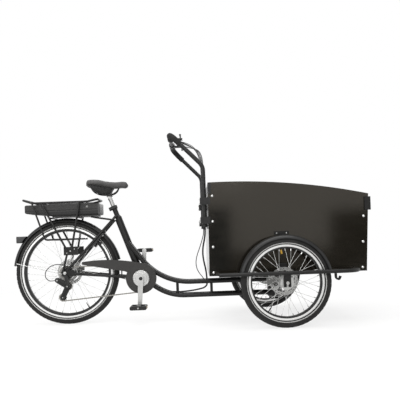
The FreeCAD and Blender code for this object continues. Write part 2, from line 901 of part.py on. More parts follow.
def tail_light():
    # The lamp stands level on the crown of the guard, with its lens let into the rear face.
    middle = polar(rear_axle, rear_guard_dia / 2, tail_light_angle, 0)
    rear_x = middle.x - tail_light_reach
    rise = tail_light_height / 2
    width = tail_light_width / 2
    housing = block(
        V(rear_x, -width, middle.z - rise), V(middle.x + tail_light_height, width, middle.z + rise))
    housing = housing.makeFillet(0.2 * tail_light_height, edges_along(housing, V(1, 0, 0)))
    seat = rod(
        rear_axle - y_axis * tail_light_width, rear_axle + y_axis * tail_light_width,
        rear_guard_dia + 2 * seat_gap)
    lens = block(
        V(rear_x, lens_depth - width, middle.z - rise + lens_depth),
        V(rear_x + lens_depth, width - lens_depth, middle.z + rise - lens_depth))
    keep("tail_light", housing.cut(seat).cut(lens), lens)


tray_z = rear_r + rear_guard_dia / 2 + rack_rod_dia / 2
battery_z = tray_z + tray_thick + seat_gap
deck_z = battery_z + battery_height + rack_rod_dia


def rack():
    half = rack_half_width
    bend = rack_bend
    rear_end = V(rack_rear_x + 5 * bend, half, deck_z)
    front_end = V(rack_front_x - 5 * bend, half, deck_z)
    rear_corner = V(rack_rear_x, half, deck_z + rack_rear_rise)
    front_corner = V(rack_front_x, half, deck_z + rack_front_rise)
    for corner, knee, end in (
            (rear_corner, V(rack_rear_x + 3 * bend, half, deck_z), rear_end),
            (front_corner, V(rack_front_x - 3 * bend, half, deck_z), front_end)):
        left = [corner, knee, end]
        right = [V(point.x, -point.y, point.z) for point in left]
        keep("rack_frame", bent_bar(right[::-1] + left, [bend] * 4, rack_rod_dia))
    side = rod(rear_end, front_end, rack_rod_dia)
    plate_z = rear_r + leg_plate_lift
    plate_top = plate_z + leg_plate_height
    leg_plate = block(
        V(0, half - leg_plate_thick / 2, plate_z),
        V(leg_plate_length, half + leg_plate_thick / 2, plate_top))
    foot = polar(rear_axle, 0.75 * dropout_radius, 120, half)
    eye_start = V(foot.x, dropout_gap / 2 + dropout_thick, foot.z)
    prop = rod(V(0.2 * leg_plate_length, half, plate_z), foot, rack_rod_dia)
    prop = prop.fuse(rod(eye_start, foot + y_axis * (rack_rod_dia / 2), rack_rod_dia))
    for shape in (side, leg_plate, prop.cut(leg_plate)):
        keep_pair("rack_frame", shape)
    rod_z = tray_z - pannier_rod_dia / 2
    legs = [
        (V(-1.55 * leg_plate_length, half, deck_z), V(0.1 * leg_plate_length, half, plate_top)),
        (V(1.25 * leg_plate_length, half, deck_z), V(0.6 * leg_plate_length, half, plate_top))]
    for top, low in legs:
        sink = (low - top).normalize() * (leg_plate_height / 2)
        leg = rod(top, low + sink, rack_rod_dia).cut(side).cut(leg_plate)
        keep_pair("rack_frame", leg)
        sides = Part.makeCompound([side, leg, mirrored(side), mirrored(leg)])
        share = (deck_z - rod_z) / (deck_z - plate_top)
        for spot in (top, top + (low - top) * share):
            cross = rod(V(spot.x, -half, spot.z), V(spot.x, half, spot.z), pannier_rod_dia)
            keep("rack_frame", cross.cut(sides))
    rail_y = half + (rack_rod_dia + pannier_rod_dia) / 2 + seat_gap
    rail_z = plate_top + leg_plate_height
    keep_pair("rack_frame", bent_bar([
        V(rack_rear_x + 3 * bend, rail_y, deck_z), V(-1.3 * leg_plate_length, rail_y, rail_z),
        V(1.3 * leg_plate_length, rail_y, rail_z)], [bend], pannier_rod_dia))
    tray_end = battery_rear_x + battery_length - rack_rod_dia
    tray_y = battery_width / 2 - rack_rod_dia
    keep("rack_frame", block(
        V(battery_rear_x + battery_taper_length, -tray_y, tray_z),
        V(tray_end, tray_y, tray_z + tray_thick)))
    spot = on_stay(rack_strut_radius)
    strut_y = spot.y + (stay_dia + pannier_rod_dia) / 2 + seat_gap
    strut = rod(V(tray_end - 4 * rack_rod_dia, strut_y, rod_z), V(spot.x, strut_y, spot.z), pannier_rod_dia)
    keep_pair("rack_frame", strut)


def battery():
    half = battery_width / 2
    front = battery_rear_x + battery_length
    case = block(V(battery_rear_x, -half, battery_z), V(front, half, battery_z + battery_height))
    case = case.makeFillet(battery_edge, edges_along(case, V(1, 0, 0)))
    seam = battery_z + 0.45 * battery_height
    groove = 0.2 * battery_edge
    for side in (-1, 1):
        y = side * half
        low = min(y, y - side * groove)
        high = max(y, y - side * groove)
        case = case.cut(block(
            V(battery_rear_x - cut_overrun, low, seam), V(front - 4 * battery_edge, high, seam + groove)))
    side_y = -half - cut_overrun
    foot_x = battery_rear_x + battery_taper_length
    wedge = plate([
        V(battery_rear_x - cut_overrun, side_y, battery_z - cut_overrun),
        V(foot_x, side_y, battery_z - cut_overrun), V(foot_x, side_y, battery_z),
        V(battery_rear_x - cut_overrun, side_y, battery_z + battery_taper_rise)],
        battery_width + 2 * cut_overrun)
    keep("battery", case.cut(wedge))


def clamp_frame(shape):
    # Moves a shape from the seat clamp's own frame, whose Z runs up the seat tube, into place.
    centre = on_seat_tube(seat_tube_length - clamp_height / 2)
    return shape.rotated(V(0, 0, 0), y_axis, -seat_tube_lean).translated(centre)


def seat_clamp():
    inner = seat_tube_top_dia + 2 * running_gap
    outer_r = inner / 2 + clamp_wall
    half = clamp_height / 2
    ear = 1.6 * clamp_wall
    bolt_x = -outer_r - 1.2 * clamp_wall
    collar = fused([
        rod(V(0, 0, -half), V(0, 0, half), 2 * outer_r),
        block(V(bolt_x - clamp_wall, -ear, -half), V(0, ear, half))])
    slit = block(V(bolt_x - 2 * clamp_wall, -0.3 * ear, -clamp_height), V(0, 0.3 * ear, clamp_height))
    collar = collar.cut(rod(V(0, 0, -clamp_height), V(0, 0, clamp_height), inner)).cut(slit)
    blade_y = -outer_r - seat_gap - lever_thick
    bolt_end = blade_y + 0.1 * lever_thick
    bolt = rod(V(bolt_x, bolt_end + lever_thick, 0), V(bolt_x, 2 * ear, 0), lever_thick)
    head = rod(V(bolt_x, ear, 0), V(bolt_x, 2 * ear, 0), 2 * lever_thick)
    keep("seat_clamp", clamp_frame(fused([collar, bolt, head])))
    eye = V(bolt_x, blade_y + lever_thick / 2, 0)
    blade = block(
        V(bolt_x, blade_y, -lever_thick),
        V(bolt_x + lever_length, blade_y + lever_thick, lever_thick))
    hub = rod(eye - V(0, 0, lever_thick), eye + V(0, 0, lever_thick), lever_thick)
    keep("seat_clamp_lever", clamp_frame(blade.fuse(hub).removeSplitter()))


saddle_base = on_seat_tube(seat_tube_length + post_rise).z + 3 * rail_dia
saddle_rear_x = on_seat_tube(seat_tube_length + post_rise).x - saddle_setback
# Each saddle section: place along, half width, underside and top as shares of the saddle's sizes.
saddle_shares = [
    (0.00, 0.55, 0.58, 0.88), (0.06, 0.84, 0.42, 0.97), (0.20, 1.00, 0.20, 1.00), (0.36, 0.90, 0.08, 0.94),
    (0.52, 0.58, 0.12, 0.85), (0.68, 0.36, 0.28, 0.81), (0.86, 0.26, 0.32, 0.83), (0.96, 0.20, 0.38, 0.76),
    (1.00, 0.10, 0.47, 0.65)]


def saddle_section(along_share, width_share, low_share, high_share):
    x = saddle_rear_x + along_share * saddle_length
    half = width_share * saddle_width / 2
    low = saddle_base + low_share * saddle_height
    high = saddle_base + high_share * saddle_height
    waist = low + 0.55 * (high - low)
    shoulder = high - 0.14 * (high - low)
    return closed_wire([
        V(x, -0.78 * half, low), V(x, 0.78 * half, low), (V(x, half, waist), V(x, 0.8 * half, shoulder)),
        (V(x, 0, high), V(x, -0.8 * half, shoulder)), (V(x, -half, waist), V(x, -0.78 * half, low))])


def seat():
    wires = []
    for shares in saddle_shares:
        wires.append(saddle_section(*shares))
    saddle = Part.makeLoft(wires, True, False)
    keep("saddle", saddle)
    top = on_seat_tube(seat_tube_length + post_rise)
    rail_z = top.z + rail_dia
    ends = []
    for section in (saddle_shares[2], saddle_shares[6]):
        ends.append(V(
            saddle_rear_x + section[0] * saddle_length, 0,
            saddle_base + section[2] * saddle_height + rail_dia / 2))
    rear, front = ends
    wide = y_axis * (rail_spacing / 2)
    narrow = y_axis * (rail_spacing / 4)
    rail = bent_bar(
        [rear + wide, V(rear.x, wide.y, rail_z), V(front.x, narrow.y, rail_z), front + narrow],
        [2 * rail_dia, 2 * rail_dia], rail_dia)
    rail = rail.cut(saddle)
    rails = [rail, mirrored(rail)]
    keep("seat_post", *rails)
    half = rail_spacing / 2 + rail_dia
    head = block(
        V(top.x - 2.5 * rail_dia, -half, top.z - 2 * rail_dia),
        V(top.x + 2.5 * rail_dia, half, rail_z + rail_dia))
    keep("seat_post", head.cut(Part.makeCompound(rails)))
    post = rod(on_seat_tube(seat_tube_length - post_insert), top, seat_post_dia)
    keep("seat_post", post.cut(head))


guide_pulley_at = V(guide_ahead, 0, rear_r - guide_drop)
tension_pulley_at = V(tension_ahead, 0, rear_r - tension_drop)


def chain():
    circles = [
        (bb_x, bb_z, pitch_radius(ring_teeth), 1),
        (rear_axle.x, rear_axle.z, pitch_radius(sprocket_teeth[driven_sprocket]), 1),
        (guide_pulley_at.x, guide_pulley_at.z, pitch_radius(pulley_teeth), -1),
        (tension_pulley_at.x, tension_pulley_at.z, pitch_radius(pulley_teeth), 1)]
    inner = 0.7 * sprocket_thick
    half = chain_plate_height / 2
    pin_end = inner + chain_plate / 2
    solids = []
    for y in (chain_y - inner - chain_plate, chain_y + inner):
        outer = Part.Face(belt_wire(circles, half, y)).extrude(V(0, chain_plate, 0))
        solids.append(outer.cut(Part.Face(belt_wire(circles, -half, y)).extrude(V(0, chain_plate, 0))))
    runs = belt_runs(circles)
    for start, end in (runs[0], runs[3]):
        along = (end - start).normalize()
        links = int((end - start).Length / chain_pitch) - 3
        for link in range(3, links):
            spot = start + along * (link * chain_pitch) + V(0, chain_y, 0)
            solids.append(rod(spot - y_axis * pin_end, spot + y_axis * pin_end, chain_pin_dia))
    keep("chain", solids[0].multiFuse(solids[1:]))


def pulley(name, at):
    half = 0.44 * cage_gap
    disc = toothed_disc(pulley_teeth, sprocket_thick, -sprocket_thick / 2)
    hub = rod(V(0, -half, 0), V(0, half, 0), 0.6 * pitch_radius(pulley_teeth))
    bore = rod(V(0, -cage_gap, 0), V(0, cage_gap, 0), cage_pin_dia + 2 * running_gap)
    keep(name, disc.fuse(hub).cut(bore).translated(at + y_axis * chain_y))


def derailleur():
    hanger = polar(rear_axle, dropout_radius, -70, 0)
    out_y = -dropout_gap / 2 - dropout_thick
    body_y = out_y - derailleur_width
    plate_out = chain_y - cage_gap / 2 - cage_plate
    plate_in = chain_y + cage_gap / 2
    knuckle_dia = 1.8 * derailleur_width
    tail = rear_axle - V(derailleur_behind, 0, derailleur_below)
    end_r = 2 * cage_pin_dia
    solids = [
        rod(hanger + y_axis * body_y, hanger + y_axis * out_y, knuckle_dia),
        stadium(hanger, guide_pulley_at, knuckle_dia / 2, end_r, body_y, 0.7 * derailleur_width),
        stadium(tail, guide_pulley_at, 0.6 * knuckle_dia, end_r, body_y, 0.7 * derailleur_width),
        rod(guide_pulley_at + y_axis * body_y, guide_pulley_at + y_axis * plate_out, 1.6 * end_r)]
    for y in (plate_out, plate_in):
        solids.append(stadium(guide_pulley_at, tension_pulley_at, end_r, end_r, y, cage_plate))
    for at in (guide_pulley_at, tension_pulley_at):
        solids.append(rod(at + y_axis * plate_out, at + y_axis * (plate_in + cage_plate), cage_pin_dia))
    keep("derailleur", fused(solids))
    pulley("guide_pulley", guide_pulley_at)
    pulley("tension_pulley", tension_pulley_at)


def crankset():
    def at(y):
        return bottom_bracket + y_axis * y

    outer = crank_y + crank_thick
    spider_in = -guard_y - guard_plate - 2 * sprocket_thick
    spider_out = spider_in - 3 * sprocket_thick
    ring_y = chain_y - sprocket_thick / 2
    solids = [
        rod(at(-outer), at(outer), spindle_dia),
        toothed_disc(ring_teeth, sprocket_thick, ring_y).translated(bottom_bracket),
        rod(at(spider_in), at(ring_y + sprocket_thick), 0.7 * spider_dia),
        rod(at(spider_out), at(spider_in), spider_dia)]
    keep("crankset", fused(solids))
    spindle = solids[0]
    reach = outer + pedal_inset + pedal_width
    for name, side, angle in (("pedal_right", -1, -90 - crank_tilt), ("pedal_left", 1, 90 - crank_tilt)):
        end = polar(bottom_bracket, crank_length, angle, 0)
        start_y = min(side * crank_y, side * outer)
        arm = stadium(bottom_bracket, end, 0.65 * crank_width, crank_width / 2, start_y, crank_thick)
        keep("crankset", arm.cut(spindle))
        axle = rod(end + y_axis * (side * outer), end + y_axis * (side * reach), pedal_axle_dia)
        keep("crankset", axle)
        keep(name, pedal(end, side))


def pedal(end, side):
    # A platform with two windows beside the barrel that turns on the axle.
    near = crank_y + crank_thick + seat_gap + pedal_inset / 2
    far = near + pedal_width
    half = pedal_length / 2
    thick = pedal_thick / 2
    low_y = min(side * near, side * far)
    body = block(V(-half, low_y, -thick), V(half, low_y + pedal_width, thick))
    body = body.makeFillet(0.4 * pedal_thick, edges_along(body, y_axis))
    frame = 0.12 * pedal_length
    for sign in (-1, 1):
        start = min(sign * frame, sign * (half - frame))
        body = body.cut(block(
            V(start, low_y + frame, -pedal_thick),
            V(start + half - 2 * frame, low_y + pedal_width - frame, pedal_thick)))
    body = body.translated(V(end.x, 0, end.z))
    bore_start = end + y_axis * (side * crank_y)
    bore_end = end + y_axis * (side * 2 * far)
    return body.cut(rod(bore_start, bore_end, pedal_axle_dia + 2 * running_gap))


def chain_guard():
    y = -guard_y - guard_plate
    radius = guard_disc_dia / 2
    rear_x = rear_axle.x + guard_rear_ahead
    top_z = bb_z + radius + guard_arm_rise
    low_z = top_z - guard_arm_height
    crown = V((rear_x + bb_x) / 2, y, top_z + 0.4 * guard_arm_height)
    disc_top = V(bb_x, y, bb_z + radius)
    belly = polar(bottom_bracket, 1.15 * radius, 155, y)
    arm = plate([
        V(rear_x, y, low_z), V(rear_x, y, top_z), (crown, disc_top), V(bb_x, y, bb_z), belly], guard_plate)
    disc = rod(bottom_bracket + y_axis * y, bottom_bracket + y_axis * (y + guard_plate), guard_disc_dia)
    hole = rod(
        bottom_bracket + y_axis * (y - cut_overrun), bottom_bracket + y_axis * (y + cut_overrun),
        spider_dia + 2 * guard_plate)
    drop = V(0, 0, -guard_plate)
    lip_y = V(0, guard_plate, 0)
    strip = plate([
        V(rear_x, y, top_z) + lip_y, (crown + lip_y, disc_top + lip_y), disc_top + drop + lip_y,
        (crown + drop + lip_y, V(rear_x, y, top_z) + drop + lip_y)], guard_lip)
    band = spun([
        (y + guard_plate, radius - guard_plate), (y + guard_plate, radius),
        (y + guard_plate + guard_lip, radius), (y + guard_plate + guard_lip, radius - guard_plate)], 140)
    tab_x = bb_x - 1.3 * radius
    tab_z = belly.z + 0.15 * radius
    stay_points = chain_stay_points(-1)
    tab = bent_bar([
        V(tab_x, y + guard_plate, tab_z), V(tab_x, -chain_stay_y, tab_z), V(tab_x, -chain_stay_y, bb_z)],
        [3 * guard_plate], 4 * guard_plate)
    stay = bent_bar(stay_points, [2 * chain_stay_straight], stay_dia)
    solids = [arm.fuse(disc).cut(hole), strip, band.translated(bottom_bracket)]
    keep("chain_guard", fused(solids))
    keep("chain_guard", tab.cut(stay).Solids[0])


box_inner_y = box_half_width - panel_thick
floor_bottom_z = floor_top_z - floor_thick


def rear_face(z):
    # The outer face of the rear panel, which leans a little.
    return box_rear_x + box_rear_lean * (z - box_bottom_z) / (box_rear_top_z - box_bottom_z)


def front_face(z):
    return box_front_x + box_front_lean * (z - box_bottom_z) / (box_front_top_z - box_bottom_z)


def channel(low, high):
    # A steel channel open at the bottom.
    inset = V(tube_wall, tube_wall, 0)
    hollow = block(low + inset - V(0, 0, cut_overrun), high - inset - V(0, 0, tube_wall))
    return block(low, high).cut(hollow)


def carriage_frame():
    low = box_bottom_z
    high = floor_bottom_z
    start = rear_face(high) + panel_thick + floor_gap
    end = front_face(low) - panel_thick - floor_gap
    rail_y = box_inner_y - rail_width
    solids = []
    for y in (-box_inner_y, rail_y):
        solids.append(channel(V(start, y, low), V(end, y + rail_width, high)))
    pivot_start = wheelbase - pivot_beam_width / 2
    pivot_end = wheelbase + pivot_beam_width / 2
    for x in (start, pivot_start, pivot_end - beam_width, end - beam_width):
        solids.append(channel(V(x, -rail_y, low), V(x + beam_width, rail_y, high)))
    plate_y = pivot_beam_width
    solids.append(block(V(pivot_start, -plate_y, low), V(pivot_end, plate_y, low + 4 * tube_wall)))
    keep("carriage_frame", fused(solids))
    flange_z = head_top_z + bush_flange + seat_gap
    nut_top = head_bottom_z - bush_flange - seat_gap
    nut_low = nut_top - kingpin_nut_height
    flange = rod(V(wheelbase, 0, flange_z), V(wheelbase, 0, low), kingpin_flange_dia)
    pin = rod(V(wheelbase, 0, nut_low), V(wheelbase, 0, low), kingpin_dia)
    nut = rod(V(wheelbase, 0, nut_low), V(wheelbase, 0, nut_top), 1.5 * kingpin_dia)
    hollow = rod(V(wheelbase, 0, nut_low), V(wheelbase, 0, low), kingpin_dia - 6 * tube_wall)
    keep("carriage_frame", fused([flange, pin, nut]).cut(hollow))
    half = inner_dropout_width / 2
    face = front_axle - y_axis * (front_track / 2 - box_half_width)
    dropout = block(
        V(wheelbase - half, box_half_width, front_r - half),
        V(wheelbase + half, box_half_width + inner_dropout_thick, low + inner_dropout_top))
    hole = rod(face - y_axis * cut_overrun, face + y_axis * front_track, front_axle_dia + 2 * running_gap)
    keep_pair("carriage_frame", dropout.cut(hole))


def front_axles():
    inner_face = box_half_width + inner_dropout_thick
    outer_face = side_bar_y - outer_dropout_thick / 2
    hub_in = front_track / 2 - front_hub_inner
    hub_out = front_track / 2 + front_hub_outer

    def at(y):
        return V(front_axle.x, y, front_axle.z)
    collar_dia = 1.7 * front_axle_dia
    nut_in = box_half_width - nut_height
    nut_out = side_bar_y + outer_dropout_thick / 2
    axle = rod(at(nut_in - nut_height / 2), at(nut_out + 1.5 * nut_height), front_axle_dia)
    collars = [
        rod(at(inner_face), at(hub_in - seat_gap), collar_dia),
        rod(at(hub_out + seat_gap), at(outer_face), collar_dia)]
    keep_pair("front_axles", fused([axle] + collars))
    for y in (nut_in, nut_out):
        keep_pair("front_axles", hexagon(at(y), nut_height, nut_width).cut(axle))


def bolt_spots():
    # Where the side bolts go through a panel: one upright row at each end.
    spots = []
    for row in range(4):
        z = bolt_row_z + row * bolt_row_pitch
        spots.append((rear_face(z) + panel_thick + post_leg / 2, z))
        if row < 3:
            spots.append((front_face(z) - panel_thick - post_leg / 2, z))
    return spots


def cargo_box():
    rear_top_x = rear_face(box_rear_top_z)
    front_top_x = front_face(box_front_top_z)
    crown = V((rear_top_x + front_top_x) / 2, box_inner_y, box_top_crown_z)
    side = plate([
        V(box_rear_x, box_inner_y, box_bottom_z), V(box_front_x, box_inner_y, box_bottom_z),
        V(front_top_x, box_inner_y, box_front_top_z),
        (crown, V(rear_top_x, box_inner_y, box_rear_top_z))], panel_thick)
    bolts = []
    for x, z in bolt_spots():
        bolts.append(rod(V(x, box_inner_y, z), V(x, box_half_width, z), bolt_dia))
    side = side.cut(Part.makeCompound(bolts))
    keep("box_side_left", side)
    keep("box_side_right", mirrored(side))
    across = 2 * box_inner_y
    keep("box_rear", plate([
        V(box_rear_x, -box_inner_y, box_bottom_z), V(box_rear_x + panel_thick, -box_inner_y, box_bottom_z),
        V(rear_top_x + panel_thick, -box_inner_y, box_rear_top_z),
        V(rear_top_x, -box_inner_y, box_rear_top_z)], across))
    keep("box_front", plate([
        V(box_front_x - panel_thick, -box_inner_y, box_bottom_z),
        V(box_front_x, -box_inner_y, box_bottom_z),
        V(front_top_x, -box_inner_y, box_front_top_z),
        V(front_top_x - panel_thick, -box_inner_y, box_front_top_z)], across))
    head = bolt_head_dia / 2
    for (x, z), shank in zip(bolt_spots(), bolts):
        dome = spun([
            (0, 0), (bolt_head_height, 0), ((0.75 * bolt_head_height, 0.6 * head), (0, head))])
        keep_pair("box_bolts", dome.translated(V(x, box_half_width, z)).fuse(shank).removeSplitter())


def box_floor():
    start = rear_face(floor_top_z) + panel_thick + floor_gap
    end = front_face(floor_bottom_z) - panel_thick - floor_gap
    half = box_inner_y - floor_gap
    notch = post_leg + floor_gap
    floor = block(V(start, -half, floor_bottom_z), V(end, half, floor_top_z))
    for x in (start - notch, end - notch):
        for y in (-half - notch, half - notch):
            floor = floor.cut(block(
                V(x, y, floor_bottom_z - cut_overrun),
                V(x + 2 * notch, y + 2 * notch, floor_top_z + cut_overrun)))
    keep("box_floor", floor)


def corner_post(face, inward, top_z):
    # A leaning angle in a corner of the box; inward is +1 behind the rear panel and -1 at the front.
    def at(offset, z, y):
        return V(face(z) + inward * (panel_thick + offset), y, z)
    low = floor_bottom_z
    side_y = box_inner_y - post_sheet
    side_leg = plate([
        at(0, low, side_y), at(post_leg, low, side_y),
        at(post_leg, top_z, side_y), at(0, top_z, side_y)], post_sheet)
    start_y = box_inner_y - post_leg
    end_leg = plate([
        at(0, low, start_y), at(post_sheet, low, start_y),
        at(post_sheet, top_z, start_y), at(0, top_z, start_y)],
        post_leg)
    return side_leg.fuse(end_leg).removeSplitter()


def box_hardware(handlebar):
    keep_pair("box_hardware", corner_post(rear_face, 1, box_rear_top_z - strip_width))
    keep_pair("box_hardware", corner_post(front_face, -1, box_front_top_z - strip_width))
    y = box_half_width
    strip_low = box_rear_top_z - strip_length
    keep_pair("box_hardware", plate([
        V(rear_face(strip_low), y, strip_low), V(rear_face(strip_low) + strip_width, y, strip_low),
        V(rear_face(box_rear_top_z) + strip_width, y, box_rear_top_z - plate_sheet),
        V(rear_face(box_rear_top_z), y, box_rear_top_z - plate_sheet)], plate_sheet))
    latch_z = box_front_top_z - strip_width - latch_height
    latch_x = front_face(latch_z) - 0.6 * latch_width
    latch = block(V(latch_x, y, latch_z), V(latch_x + latch_width, y + latch_thick, latch_z + latch_height))
    keep_pair("box_hardware", latch)
    foot = 2 * strip_width
    for x in (box_rear_x, box_front_x - 1.5 * foot):
        keep_pair("box_hardware", block(
            V(x, y, box_bottom_z), V(x + 1.5 * foot, y + plate_sheet, bolt_row_z - bolt_head_dia)))
    top_z = front_r + front_guard_dia / 2 + seat_gap
    wall = block(
        V(wheelbase - bracket_length / 2, y, top_z),
        V(wheelbase + bracket_length / 2, y + plate_sheet, top_z + bracket_height))
    tongue = block(
        V(wheelbase - bracket_height, y, top_z),
        V(wheelbase + bracket_height, front_track / 2, top_z + plate_sheet))
    keep_pair("box_hardware", wall.fuse(tongue).removeSplitter())
    panels = Part.makeCompound(nodes["box_rear"] + nodes["box_side_left"] + nodes["box_side_right"])
    post_x = box_rear_x - bar_setback
    half = clamp_block_width / 2
    for z in (upper_clamp_z, lower_clamp_z):
        body = block(
            V(post_x - bar_dia, bar_y - half, z - clamp_block_height / 2),
            V(rear_face(z) + panel_thick, bar_y + half, z + clamp_block_height / 2))
        keep_pair("box_hardware", body.cut(panels).cut(handlebar))


def bar_points():
    x = box_rear_x - bar_setback
    right = [V(x, -bar_y, bar_foot_z), V(x, -bar_y, bar_bend_z), V(x - bar_reach, -bar_y, bar_cross_z)]
    left = [V(spot.x, -spot.y, spot.z) for spot in reversed(right)]
    return right + left


def handlebar():
    points = bar_points()
    bends = [bar_bend] * 4
    keep("handlebar", bent_tube(points, bends, bar_dia, bar_wall))
    arm = (points[1] - points[2]).normalize()
    grip_path = [points[2] + arm * grip_arm_length, points[2], points[2] + y_axis * grip_length]
    sleeve = bent_bar(grip_path, [bar_bend], grip_dia)
    core = bent_bar(grip_path, [bar_bend], bar_dia + 2 * running_gap)
    keep_pair("grips", sleeve.cut(core))
    return bent_bar(points, bends, bar_dia + 2 * running_gap)


def bar_controls():
    bar = bar_points()[2]
    bore = bar_dia + 2 * running_gap

    def at(y):
        return V(bar.x, y, bar.z)
    half = perch_width / 2
    clamp = ring(at(perch_y - half), at(perch_y + half), perch_dia, bore)
    thick = lever_blade_width
    arm_start = bar.x + 0.45 * perch_dia
    pivot_x = bar.x + lever_reach
    nose = block(
        V(arm_start, perch_y - half, bar.z - thick / 2),
        V(pivot_x + half, perch_y + half, bar.z + thick / 2))
    slot_z = lever_blade_thick / 2 + seat_gap
    nose = nose.cut(block(
        V(pivot_x - half, perch_y - perch_width, bar.z - slot_z),
        V(pivot_x + perch_width, perch_y + perch_width, bar.z + slot_z)))
    pin = rod(V(pivot_x, perch_y, bar.z - thick / 2), V(pivot_x, perch_y, bar.z + thick / 2), lever_pin_dia)
    keep_pair("handlebar_controls", fused([clamp, nose, pin]))
    z = lever_blade_thick / 2
    blade = plate_flat([
        V(pivot_x - 0.4 * half, perch_y - 0.4 * half, bar.z - z),
        V(pivot_x + 0.4 * half, perch_y - 0.4 * half, bar.z - z),
        V(pivot_x + 0.4 * half, perch_y + lever_blade_length, bar.z - z),
        V(pivot_x - 0.4 * half, perch_y + lever_blade_length, bar.z - z)], lever_blade_thick)
    tip = V(pivot_x, perch_y + lever_blade_length, bar.z)
    knob = rod(tip - V(0, 0, z), tip + V(0, 0, z), lever_blade_width)
    eye = rod(V(pivot_x, perch_y, bar.z - z), V(pivot_x, perch_y, bar.z + z), 0.8 * perch_width)
    lever = fused([blade, knob, eye]).cut(rod(
        V(pivot_x, perch_y, bar.z - perch_width), V(pivot_x, perch_y, bar.z + perch_width),
        lever_pin_dia + 2 * running_gap))
    keep("brake_lever_left", lever)
    keep("brake_lever_right", mirrored(lever))
    keep("twist_shifter", ring(
        at(shifter_y - shifter_length / 2), at(shifter_y + shifter_length / 2), shifter_dia, bore))
    low = bar.z + bar_dia / 2 + seat_gap
    screen = block(
        V(bar.x - display_depth / 2, display_y - display_width / 2, low),
        V(bar.x + display_depth / 2, display_y + display_width / 2, low + display_thick))
    keep("handlebar_controls", screen.makeFillet(0.25 * display_thick, screen.Edges))


def plate_flat(points, height):
    return Part.Face(closed_wire(points)).extrude(V(0, 0, height))


def side_guards():
    # The bar outside each front wheel carries the outer dropout.
    y = side_bar_y
    z = side_bar_z
    path = [V(side_bar_rear_x, y, z), V(side_bar_front_x, y, z), V(side_bar_front_x, box_half_width, z)]
    bar = bent_tube(path, [side_bar_bend], side_bar_dia, tube_wall)
    half = outer_dropout_width / 2
    thick = outer_dropout_thick / 2
    dropout = block(
        V(wheelbase - half, y - thick, z - outer_dropout_drop), V(wheelbase + half, y + thick, z))
    slot = front_axle_dia / 2 + running_gap
    dropout = dropout.cut(block(
        V(wheelbase - slot, y - outer_dropout_thick, z - outer_dropout_drop - cut_overrun),
        V(wheelbase + slot, y + outer_dropout_thick, front_r)))
    dropout = dropout.cut(rod(
        V(wheelbase, y - outer_dropout_thick, front_r),
        V(wheelbase, y + outer_dropout_thick, front_r), 2 * slot))
    tab = side_bar_dia / 2
    strap = block(
        V(side_bar_rear_x - tab, box_half_width, z - plate_sheet),
        V(side_bar_rear_x + tab, y, z + plate_sheet))
    keep_pair("guard_bars", fused([bar, dropout, strap]))
    width = 2 * (y - side_bar_dia / 2 - seat_gap - front_track / 2)
    guard = mudguard_shape(front_guard_dia, width, front_guard_start, 180 - front_guard_start)
    keep_pair("front_mudguards", guard.translated(front_axle))


def disc_brakes():
    rotor_y = front_track / 2 - rotor_offset - rotor_thick / 2
    low_y = rotor_y - caliper_width / 2
    cx = wheelbase - 0.46 * rotor_dia
    cz = front_r + 0.15 * caliper_height
    half = caliper_length / 2
    rise = caliper_height / 2
    body = block(V(cx - half, low_y, cz - rise), V(cx + half, low_y + caliper_width, cz + rise))
    body = body.makeFillet(0.15 * caliper_height, edges_along(body, y_axis))
    slot_start = wheelbase - rotor_dia / 2 - caliper_slot
    body = body.cut(block(
        V(slot_start, rotor_y - caliper_slot / 2, cz - caliper_height),
        V(cx + caliper_length, rotor_y + caliper_slot / 2, cz + caliper_height)))
    carrier = block(
        V(cx - 0.8 * half, box_half_width + inner_dropout_thick, front_r - 0.6 * rise),
        V(wheelbase - 0.8 * inner_dropout_width / 2, low_y, front_r + 0.5 * rise))
    pivot = V(cx, 0, cz + 0.55 * rise)
    pin = rod(pivot + y_axis * (low_y - 1.3 * caliper_arm_thick), pivot + y_axis * low_y, cage_pin_dia)
    keep_pair("brake_calipers", fused([body, carrier, pin]))
    arm_y = low_y - seat_gap - caliper_arm_thick
    end = polar(pivot, caliper_arm_length, 115, 0)
    arm = stadium(pivot, end, 1.2 * cage_pin_dia, cage_pin_dia, arm_y, caliper_arm_thick)
    arm = arm.cut(rod(pivot, pivot + y_axis * front_track, cage_pin_dia + 2 * running_gap))
    keep("caliper_arm_left", arm)
    keep("caliper_arm_right", mirrored(arm))


def cable(points, dia):
    # A smooth cable: each arc is as large as its two runs allow.
    bends = []
    for before, corner, after in zip(points, points[1:], points[2:]):
        turn = math.pi - (before - corner).getAngle(after - corner)
        run = min((before - corner).Length, (after - corner).Length)
        bends.append(0.45 * run / math.tan(turn / 2))
    return bent_bar(points, bends, dia)


# Cable routes, chosen by hand along the frame, the box and the bar.
right_lever_route = [
    V(722, -106.6, 1118), V(727, -78, 1117), V(748, -60, 1109), V(783, -74, 1088), V(815, -118, 1065),
    V(840, -168, 1041), V(856, -214, 1012), V(865, -246, 975), V(868, -261, 930), V(868.5, -263, 870),
    V(868.6, -263.2, 560)]
left_lever_route = [
    V(722, 106.6, 1118), V(728, 76, 1117), V(747, 40, 1110), V(776, -6, 1092), V(806, -62, 1073),
    V(833, -124, 1055), V(855, -184, 1031), V(869, -232, 992), V(874, -257, 940), V(874.6, -262, 876),
    V(874.6, -263.2, 560)]
crossing_route = [
    V(871.6, -263.2, 559.7), V(871.6, -263.2, 540), V(867, -238, 505), V(858, -180, 464), V(855, -118, 415),
    V(861, -62, 368), V(871, -23, 322), V(877, -4, 280), V(879, 0, 232)]
crossing_loop = [
    V(863.3, -263.2, 559.7), V(863.3, -263.2, 540), V(854, -234, 505), V(838, -174, 455),
    V(819, -114, 405), V(811, -70, 360), V(817, -38, 318), V(836, -14, 284), V(857, -3, 258), V(867, 0, 232)]
